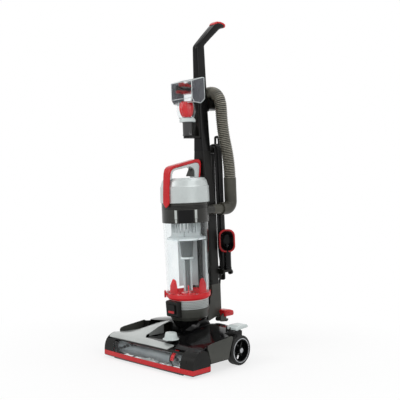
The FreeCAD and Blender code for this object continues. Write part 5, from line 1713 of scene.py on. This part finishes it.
@dataclass
class CarryLoop:
    """The loop over the lid: a red outer band to a pointed foot, and a pale liner with a rear post."""

    shop: Shop
    band: tuple[STATION, ...] = (
        ((102.4, 469.5), (106.6, 469.5), 1.6),
        ((102.4, 475.0), (107.8, 475.0), 7.5),
        ((102.6, 482.0), (109.0, 482.0), 12.2),
        ((103.0, 488.0), (109.3, 488.0), 13.0),
        ((104.2, 510.0), (109.3, 510.0), 13.0),
        ((106.0, 531.0), (110.4, 531.0), 13.0),
        ((107.8, 560.0), (115.2, 560.0), 13.0),
        ((109.6, 574.0), (117.2, 571.0), 13.0),
        ((113.5, 585.0), (120.2, 579.0), 13.0),
        ((121.0, 592.0), (126.5, 584.2), 13.0),
        ((132.0, 596.0), (135.5, 587.8), 13.0),
        ((170.0, 603.2), (171.5, 594.2), 13.0),
        ((210.0, 610.6), (211.5, 601.2), 13.0),
        ((230.0, 614.2), (230.0, 604.4), 13.0),
        ((241.5, 614.6), (238.0, 603.6), 13.0),
        ((249.6, 610.0), (243.2, 599.4), 13.0),
        ((252.4, 600.0), (245.6, 594.0), 13.0),
        ((250.5, 580.0), (244.4, 578.0), 13.0),
        ((246.4, 557.6), (240.6, 557.5), 13.0),
    )
    liner: tuple[STATION, ...] = (
        ((115.0, 552.0), (122.6, 556.0), 11.8),
        ((117.0, 570.0), (124.2, 568.0), 12.0),
        ((120.0, 578.6), (127.8, 575.6), 12.0),
        ((126.3, 584.0), (132.6, 579.6), 12.0),
        ((135.3, 587.6), (139.0, 581.8), 12.0),
        ((171.3, 594.0), (172.5, 586.6), 12.0),
        ((203.0, 599.6), (203.0, 591.6), 12.0),
        ((226.0, 603.6), (216.5, 586.0), 12.0),
        ((237.6, 603.2), (221.5, 580.0), 12.0),
        ((243.0, 599.0), (222.4, 574.0), 12.0),
        ((245.4, 593.0), (222.6, 568.0), 12.0),
        ((243.6, 577.0), (222.6, 562.0), 12.0),
        ((240.4, 557.6), (222.6, 557.5), 12.0),
    )

    def build(self) -> None:
        """Builds the band and the liner."""
        draft = MeshDraft()
        draft.strap(self.band, self.shop.lean.point, 2.6)
        self.shop.keep(draft, "carry_band", Slot.RED, "bin", None, ("carry_handle",), 45.0)
        draft = MeshDraft()
        draft.strap(self.liner, self.shop.lean.point, 2.2)
        self.shop.keep(draft, "carry_liner", Slot.LID_SILVER, "bin", sharp=45.0)


@dataclass
class TurboTool:
    """The stored turbo brush: neck, white collar, red turbine, painted highlights on the hood's edges, its
    cheeks, and its roll.
    """

    shop: Shop
    axis_y: float = 211.0
    bulb_y: float = 208.0
    roll: FLAT = (216.0, 836.0)
    half: float = 38.0
    root: float = 8.5
    edge_x: float = 43.9
    cheek_lows: FLAT = (-44.8, 44.3)
    neck: tuple[FLAT, ...] = (
        (12.9, 687.5),
        (16.0, 687.4),
        (16.5, 688.5),
        (16.5, 691.0),
        (15.7, 692.0),
        (15.7, 727.0),
        (16.4, 728.4),
        (16.4, 729.8),
        (12.9, 729.8),
    )
    ring: tuple[FLAT, ...] = (
        (14.0, 729.9),
        (24.0, 729.9),
        (25.2, 731.0),
        (25.2, 736.5),
        (24.0, 739.0),
        (22.6, 741.3),
        (14.0, 741.5),
    )
    bulb: tuple[FLAT, ...] = (
        (8.0, 744.5),
        (13.5, 746.0),
        (18.0, 754.0),
        (21.0, 766.0),
        (21.5, 777.0),
        (20.0, 787.0),
        (16.0, 793.0),
        (8.0, 794.0),
    )
    side: tuple[FLAT, ...] = (
        (189.6, 852.0),
        (189.6, 801.0),
        (198.3, 788.6),
        (227.8, 786.6),
        (245.8, 800.0),
        (245.8, 865.4),
        (238.0, 865.4),
    )
    cheek: tuple[FLAT, ...] = (
        (190.8, 851.0),
        (190.8, 801.5),
        (199.0, 789.8),
        (227.4, 787.9),
        (244.6, 800.6),
        (244.6, 864.2),
        (238.6, 864.2),
    )

    def build(self) -> None:
        """Builds every piece that stands with the clear housing."""
        about = self.shop.about(0.0, self.axis_y)
        draft = MeshDraft()
        draft.lathe(self.neck, about, 48, (12, 0.02))
        self.shop.keep(draft, "turbo_neck", NECK_BLACK, "turbo_tool", Slot.BLACK_GLOSS, ("tool_neck",))
        draft = MeshDraft()
        draft.lathe(self.ring, about)
        self.shop.keep(draft, "turbo_collar", Slot.WHITE, "turbo_tool", sharp=30.0)
        draft = MeshDraft()
        draft.lathe(self.bulb, self.shop.about(0.0, self.bulb_y), 72, (9, 0.05))
        self.shop.keep(draft, "turbo_turbine", Slot.RED, "turbo_tool", sharp=25.0)
        self.edges()
        self.brush()

    def edges(self) -> None:
        """Builds pale rods along the clear hood's edges as painted highlights, and its smoky cheeks."""
        point = self.shop.lean.point
        draft = MeshDraft()
        # Pale rods along the hood's side outlines and across its corners are painted highlights.
        for x in (-self.edge_x, self.edge_x):
            for (y0, z0), (y1, z1) in zip(self.side, self.side[1:] + self.side[:1]):
                draft.rod(point(x, y0, z0), point(x, y1, z1), 1.15)
        for y, z in self.side[:3] + self.side[5:]:
            draft.rod(point(-self.edge_x, y, z), point(self.edge_x, y, z), 0.9)
        self.shop.keep(draft, "turbo_hood_edge_highlights", EDGE_HIGHLIGHT_CLEAR, "turbo_tool", Slot.CLEAR, sharp=60.0)
        draft = MeshDraft()
        for low in self.cheek_lows:
            draft.slab(self.cheek, low, low + 0.5, self.shop.side(), 0.2)
        self.shop.keep(draft, "turbo_hood_cheeks", HOOD_SMOKE, "turbo_tool", Slot.SMOKE, sharp=40.0)

    def brush(self) -> None:
        """Builds the small roll: a dark core and six spiral rows of tufts, red and black by turns."""
        y, z = self.roll
        end = -self.half
        core = [(2.4, end - 5.0), (2.4, end - 0.4), (12.0, end), (12.0, end + 3.0), (8.6, end + 3.4)]
        draft = MeshDraft()
        profile = core + [(r, -x) for r, x in reversed(core)]
        draft.lathe(profile, lambda a, b, x: self.shop.lean.point(x, y + a, z + b), 32)
        self.shop.keep(draft, "turbo_roll_core", Slot.DARK_GREY, "turbo_roll", Slot.RED, ("tool_brush",))
        for number, finish in enumerate((RED_TUFT, Slot.BRISTLE)):
            self.shop.grow(
                seeds(f"turbo_tuft_points_{number}", self.spots(60.0 * number + 15.0)),
                self.shop.trees.bristles,
                f"turbo_tufts_{number}",
                finish,
                "turbo_roll",
                {
                    "Length": 0.0125,
                    "Thickness": 0.0005,
                    "Tuft radius": 0.0026,
                    "Per tuft": 16,
                    "Splay": 0.1,
                    "Seed": 9 + number,
                },
                Slot.RED if number == 0 else Slot.BRISTLE,
            )

    def spots(self, start: float) -> list[tuple[Vector, Vector, Vector]]:
        """Places three of the spiral rows of tufts.

        Args:
            start: the angle of the first row, in degrees.

        Returns:
            The tufts' roots on the core, with their directions.
        """
        y, z = self.roll
        turn = self.shop.lean.turn()
        spots = []
        for row in range(3):
            for i in range(15):
                x = -self.half + 6.0 + i * (2 * self.half - 12.0) / 14.0
                a = math.radians(120.0 * row + start + x * 1.3)
                out = (turn @ Vector((0.0, math.cos(a), math.sin(a)))).normalized()
                root = self.shop.lean.point(x, y, z) + out * (self.root * MM)
                spots.append((root, out, Vector((1.0, 0.0, 0.0))))
        return spots


@dataclass
class BinDetails:
    """What shows on and through the bin: cone, tube, rings, ribs, pale sheets of painted reflection, fins,
    band and exhaust ring.
    """

    shop: Shop
    axis: FLAT = (0.0, 186.0)
    cone: tuple[FLAT, ...] = (
        (4.0, 374.0),
        (22.5, 374.0),
        (21.5, 366.0),
        (17.5, 320.0),
        (17.0, 312.0),
        (4.0, 312.0),
    )
    tube: tuple[FLAT, ...] = ((4.0, 306.0), (10.5, 306.0), (10.5, 207.0), (4.0, 207.0))
    rings: tuple[tuple[FLAT, ...], ...] = (
        ((22.8, 369.4), (43.0, 375.2), (43.0, 377.2), (22.8, 371.4)),
        ((55.0, 369.0), (60.5, 367.5), (60.5, 372.5), (55.0, 374.0)),
        ((17.2, 306.4), (20.5, 306.4), (20.5, 311.8), (17.2, 311.8)),
    )
    rib: tuple[FLAT, ...] = ((10.0, 207.5), (18.6, 207.5), (18.0, 306.3), (10.0, 306.3))
    fin_corners: tuple[POINT, ...] = (
        (30, 188, 0),
        (57.5, 188, 0),
        (56.5, 224, 6),
        (47, 246, 7),
        (37, 238, 9),
        (33, 206, 8),
    )
    exhaust: tuple[FLAT, ...] = (
        (60.0, 157.4),
        (62.1, 157.4),
        (62.4, 158.0),
        (62.4, 184.2),
        (62.0, 184.6),
        (60.0, 184.6),
    )
    hole_rows: int = 5
    holes: int = 72

    def build(self) -> None:
        """Builds the pieces inside the cup, on the band and under the bin."""
        about = self.shop.about(*self.axis)
        draft = MeshDraft()
        draft.lathe(self.cone, about, 96, (24, 0.02))
        draft.lathe(self.tube, about, 32)
        self.shop.keep(draft, "cyclone_core", CONE_GREY, "bin", Slot.DARK_GREY, ("cyclone_cone",), 30.0)
        # The rings are real parts; their pale finish is a painted highlight on their thick clear edges.
        draft = MeshDraft()
        for ring in self.rings:
            draft.collar(ring, about)
        self.shop.keep(draft, "cyclone_rings", EDGE_HIGHLIGHT_CLEAR, "bin", Slot.CLEAR, sharp=40.0)
        draft = MeshDraft()
        for degrees in (0.0, 90.0, 180.0, 270.0):
            self.fin(draft, self.rib, 0.8, degrees, 0.3)
        # Two pale sheets on the cup's back wall are a painted reflection.
        for start in (18.0, 102.0):
            self.patch(draft, start, start + 60.0, 212.0, 364.0, 61.0, 62.4)
        self.shop.keep(draft, "dust_tube_ribs_and_reflection_sheets", CUP_PAINTED_REFLECTION, "bin", Slot.CLEAR, sharp=40.0)
        draft = MeshDraft()
        for degrees in (135.0, 315.0):
            self.fin(draft, rounded(self.fin_corners), 2.6, degrees, 1.4)
        self.shop.keep(draft, "door_fins", CLEAR_RED, "bin", Slot.RED, sharp=45.0)
        self.tabs()
        self.grille()

    def fin(
        self, draft: MeshDraft, outline: Sequence[FLAT], half: float, degrees: float, edge: float
    ) -> None:
        """Adds an upright plate that stands out from the bin's axis.

        Args:
            draft: the mesh being gathered.
            outline: its outline, as distance from the axis and height.
            half: half its thickness.
            degrees: which way it points; 0 faces the front.
            edge: the radius of its edges.
        """
        cos, sin = math.cos(math.radians(degrees)), math.sin(math.radians(degrees))
        x0, y0 = self.axis

        def place(r: float, z: float, t: float) -> Vector:
            """Turns a distance out, a height and a distance across into the row frame."""
            return self.shop.lean.point(x0 + r * sin + t * cos, y0 - r * cos + t * sin, z)

        draft.slab(outline, -half, half, place, edge)

    def on_wall(self, angle: float, radius: float, height: float) -> Vector:
        """Places a point on a wall round the bin's axis.

        Args:
            angle: which way it lies, in degrees; -90 faces the front.
            radius: its distance from the axis, in millimetres.
            height: its height.

        Returns:
            The point in the row frame.
        """
        a = math.radians(angle)
        x0, y0 = self.axis
        return self.shop.lean.point(x0 + radius * math.cos(a), y0 + radius * math.sin(a), height)

    def patch(
        self,
        draft: MeshDraft,
        start: float,
        end: float,
        low: float,
        high: float,
        inner: float,
        outer: float,
    ) -> None:
        """Adds a curved plate on the wall.

        Args:
            draft: the mesh being gathered.
            start: its first angle, in degrees.
            end: its last angle.
            low: its lower edge's height, in millimetres.
            high: its upper edge's height.
            inner: its inner radius.
            outer: its outer radius.
        """
        rings = []
        steps = max(3, int(abs(end - start) / 2.5))
        for i in range(steps + 1):
            a = start + (end - start) * i / steps
            out = outer if 0 < i < steps else outer - 0.5
            section = [(inner, low), (out, low), (out, high), (inner, high)]
            rings.append([self.on_wall(a, r, z) for r, z in section])
        draft.loft(rings)

    def tabs(self) -> None:
        """Builds the two pale tabs, the gloss panel between them and the fine rings of the band."""
        draft = MeshDraft()
        for middle in (-69.0, -20.0):
            self.patch(draft, middle - 3.0, middle + 3.0, 434.0, 461.0, 72.6, 74.4)
            self.patch(draft, middle - 2.4, middle + 2.4, 422.5, 433.0, 72.6, 74.0)
        self.shop.keep(draft, "band_tabs", Slot.SILVER, "bin", Slot.LID_SILVER)
        draft = MeshDraft()
        self.patch(draft, -63.0, -26.0, 422.5, 461.0, 72.6, 73.8)
        for low in (464.0, 468.0, 472.0):
            section = ((72.7, low), (73.5, low + 0.4), (73.5, low + 1.4), (72.7, low + 1.8))
            draft.collar(section, self.shop.about(*self.axis), 96)
        self.shop.keep(draft, "band_panel", Slot.BLACK_GLOSS, "bin", Slot.BLACK_SATIN)

    def grille(self) -> None:
        """Builds the silver ring under the bin and rows of black studs, painted shade where its small holes
        would show dark.
        """
        draft = MeshDraft()
        draft.collar(self.exhaust, self.shop.about(*self.axis), 96)
        self.shop.keep(draft, "exhaust_ring", Slot.LID_SILVER, "upright", None, ("exhaust_grille",))
        turn = self.shop.lean.turn()
        up = turn @ Vector((0.0, 0.0, 1.0))
        spots = []
        for row in range(self.hole_rows):
            for i in range(self.holes):
                a = 360.0 * (i + 0.5 * (row % 2)) / self.holes
                out = turn @ Vector((math.cos(math.radians(a)), math.sin(math.radians(a)), 0.0))
                spots.append((self.on_wall(a, 62.35, 161.5 + 4.7 * row), out, up))
        # Black studs on the solid ring paint the shade inside each hole.
        self.shop.grow(
            seeds("exhaust_hole_points", spots),
            self.shop.trees.studs,
            "exhaust_hole_painted_shade",
            Slot.BLACK_SATIN,
            "upright",
            {"Radius": 0.0017, "Height": 0.0003, "Sides": 8},
        )


@dataclass
class SmallParts:
    """The dusting brush's rim and neck, both pedals, the pod's bar, the knob and the painted highlight rings
    on the wheels.
    """

    shop: Shop
    dusting_neck: tuple[FLAT, ...] = (
        (9.6, 258.4),
        (12.4, 258.4),
        (13.0, 259.6),
        (13.0, 264.0),
        (12.2, 265.0),
        (12.2, 300.0),
        (12.8, 312.0),
        (11.5, 324.0),
        (9.0, 340.0),
    )
    # How far each ring of the dusting rim stands in from its outline, and its depth.
    rim_outer: tuple[FLAT, ...] = ((1.5, 0.0), (0.0, -1.5), (0.0, -10.5), (1.4, -12.0))
    rim_inner: tuple[FLAT, ...] = ((0.0, -12.0), (0.0, 0.0))
    power_corners: tuple[POINT, ...] = (
        (287, 111, 2),
        (312, 109.5, 0),
        (327, 109, 3),
        (331.5, 113, 4),
        (330, 124, 5),
        (316, 129.5, 6),
        (299, 131.5, 5),
        (287, 131, 3),
    )
    release_corners: tuple[POINT, ...] = (
        (192, 102.5, 3),
        (210, 104.2, 3),
        (244, 106, 3),
        (246.5, 110.5, 3),
        (240, 116.0, 5),
        (205, 116.0, 7),
        (192.5, 112, 3),
    )
    housing_corners: tuple[POINT, ...] = (
        (286, 97, 2),
        (300, 93.0, 3),
        (308, 95, 3),
        (309, 101.5, 2),
        (287, 102.0, 2),
    )
    dial_middle: FLAT = (55.0, 49.0)
    dial_cap: tuple[FLAT, ...] = (
        (5.0, 82.3),
        (23.6, 82.3),
        (23.9, 83.4),
        (23.0, 84.6),
        (19.9, 85.6),
        (19.2, 87.5),
        (16.9, 99.0),
        (16.0, 101.3),
        (14.0, 102.3),
        (4.0, 102.6),
    )
    dial_shaft: tuple[FLAT, ...] = ((4.9, 66.0), (4.9, 82.4))
    wheel_axle: FLAT = (208.0, 43.75)
    # A ring on each tyre's outer face that paints the highlight on the tyre's bevel.
    wheel_highlight_ring: tuple[FLAT, ...] = (
        (33.2, 188.9),
        (35.4, 188.9),
        (35.9, 189.9),
        (35.0, 190.3),
        (33.4, 190.2),
    )

    def build(self) -> None:
        """Builds each of them."""
        self.dusting_head()
        self.pedals()
        self.pod()
        self.knob()
        self.housing()
        self.wheels()

    def dusting_head(self) -> None:
        """Builds the red oval rim and the black back, shoulder and neck."""
        head = DustingBrush(self.shop)
        outer, inner = rounded_rectangle(26.0, 37.0, 21.0, 8), rounded_rectangle(20.6, 31.6, 17.0, 8)
        rings = []
        for line, steps in ((outer, self.rim_outer), (inner, self.rim_inner)):
            for amount, depth in steps:
                rings.append([head.spot(x, depth, z) for x, z in inset(line, amount)])
        draft = MeshDraft()
        draft.loft(rings, False, False)
        self.shop.keep(draft, "dusting_rim", Slot.RED, "dusting_tool", sharp=40.0)
        back = rounded_rectangle(22.0, 33.0, 18.0, 8)
        rings = []
        for amount, depth in ((0.0, -3.0), (0.0, 6.5), (2.5, 9.0)):
            rings.append([head.spot(x, depth, z) for x, z in inset(back, amount)])
        draft = MeshDraft()
        draft.loft(rings)
        draft.lathe(self.dusting_neck, self.shop.about(*head.peg), 40)
        self.shop.keep(
            draft, "dusting_neck", Slot.BLACK_GLOSS, "dusting_tool", Slot.BLACK_GLOSS, ("dusting_brush",)
        )

    def pedals(self) -> None:
        """Builds the thick power pedal and the recline release pedal."""
        draft = MeshDraft()
        draft.slab(rounded(self.power_corners), 26.0, 60.0, self.shop.side(), 3.5)
        self.shop.keep(draft, "power_tread", Slot.RED, "switch_pedal", None, ("power_pedal",), 45.0)
        draft = MeshDraft()
        flat = self.shop.lean.flat
        draft.slab(rounded(self.release_corners), 146.5, 185.0, lambda y, z, x: flat(x, y, z), 2.4)
        self.shop.keep(
            draft, "release_tread", Slot.WHITE, "recline_pedal", Slot.SILVER, ("release_pedal",), 45.0
        )

    def pod(self) -> None:
        """Builds one plain red bar across the pod's panel."""
        draft = MeshDraft()
        rings = []
        for z in (148.5, 155.5):
            front = 108.0 - (z - 146.0) * 1.7 / 28.0
            outline = ((-12.0, front - 0.7), (12.0, front - 0.7), (12.0, front + 0.4), (-12.0, front + 0.4))
            rings.append([self.shop.lean.point(x, y, z) for x, y in outline])
        draft.loft(rings)
        self.shop.keep(draft, "pod_bar", Slot.RED, "upright")

    def knob(self) -> None:
        """Builds the height knob: a thin skirt and a fluted, tapered cap over its shaft."""
        x0, y0 = self.dial_middle

        def place(x: float, y: float, z: float) -> Vector:
            """Turns a place about the knob's axis into the row frame."""
            return self.shop.lean.flat(x0 + x, y0 + y, z)

        draft = MeshDraft()
        draft.lathe(self.dial_cap, place, 96, (12, 0.012))
        draft.lathe(self.dial_shaft, place, 24)
        self.shop.keep(draft, "height_dial_cap", Slot.WHITE, "height_dial", None, ("height_knob",))

    def housing(self) -> None:
        """Builds the grey housing under the power pedal."""
        draft = MeshDraft()
        draft.slab(rounded(self.housing_corners), 31.0, 55.0, self.shop.side(), 2.0)
        self.shop.keep(draft, "pedal_housing", Slot.DARK_GREY, "upright")

    def wheels(self) -> None:
        """Builds a steel ring at the edge of each wheel's tyre, a painted highlight where the tyre's bevel
        catches the light.
        """
        y0, z0 = self.wheel_axle
        for name, side in (("left", -1), ("right", 1)):
            draft = MeshDraft()
            draft.collar(
                self.wheel_highlight_ring,
                lambda y, z, x, way=side: self.shop.lean.flat(way * x, y0 + y, z0 + z),
                72,
            )
            self.shop.keep(draft, f"wheel_highlight_ring_{name}", Slot.STEEL, f"wheel_{name}")


# CAD nodes whose finish differs from the one that their slot usually has.
SPECIAL_FINISHES: dict[str, Finish | Slot] = {
    "bin_door": CLEAR_RED,
    "bin_band": BAND_BLACK,
    "brush_core": ROLL_GREY,
    "cyclone_shroud": PALE_SHROUD,
    "hose_cuff": ELBOW_OLIVE,
    "inlet_elbow": ELBOW_OLIVE,
    "spine_shell": Slot.BLACK_SATIN,
}


def dress_frame(shop: Shop, record: dict) -> None:
    """Gives every carried-over CAD node its finish by its slot.

    Args:
        shop: the finishes and the nodes.
        record: the frame's record, which names each node's slot.
    """
    slots = {part["node"]: part["material_slot"] for part in record["subparts"]}
    for name, node in shop.nodes.items():
        material = shop.palette.get(SPECIAL_FINISHES.get(name, Slot(slots[name])))
        if not node.material_slots:
            node.data.materials.append(material)
        for holder in node.material_slots:
            holder.material = material


def main() -> None:
    """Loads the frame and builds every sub-assembly in order."""
    logging.basicConfig(level=logging.INFO, format="%(name)s: %(message)s")
    for leftover in list(bpy.data.objects):
        bpy.data.objects.remove(leftover)
    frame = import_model()
    recline = next(j for j in frame["joints"] if j["name"] == "recline")
    bpy.context.scene.view_settings.view_transform = "Standard"
    studio = Studio()
    studio.camera()
    shop = Shop(Lean(Vector(recline["pos_m"])), Palette(), Trees(), frame["nodes"])
    StretchHose(shop).build()
    WoundCord(shop).build()
    studio.lights()
    studio.floor()
    dress_frame(shop, frame["record"])
    for part in (BrushRoll, DustingBrush, GripEnd, CarryLoop, TurboTool, BinDetails, SmallParts):
        part(shop).build()


if __name__ == "__main__":
    main()
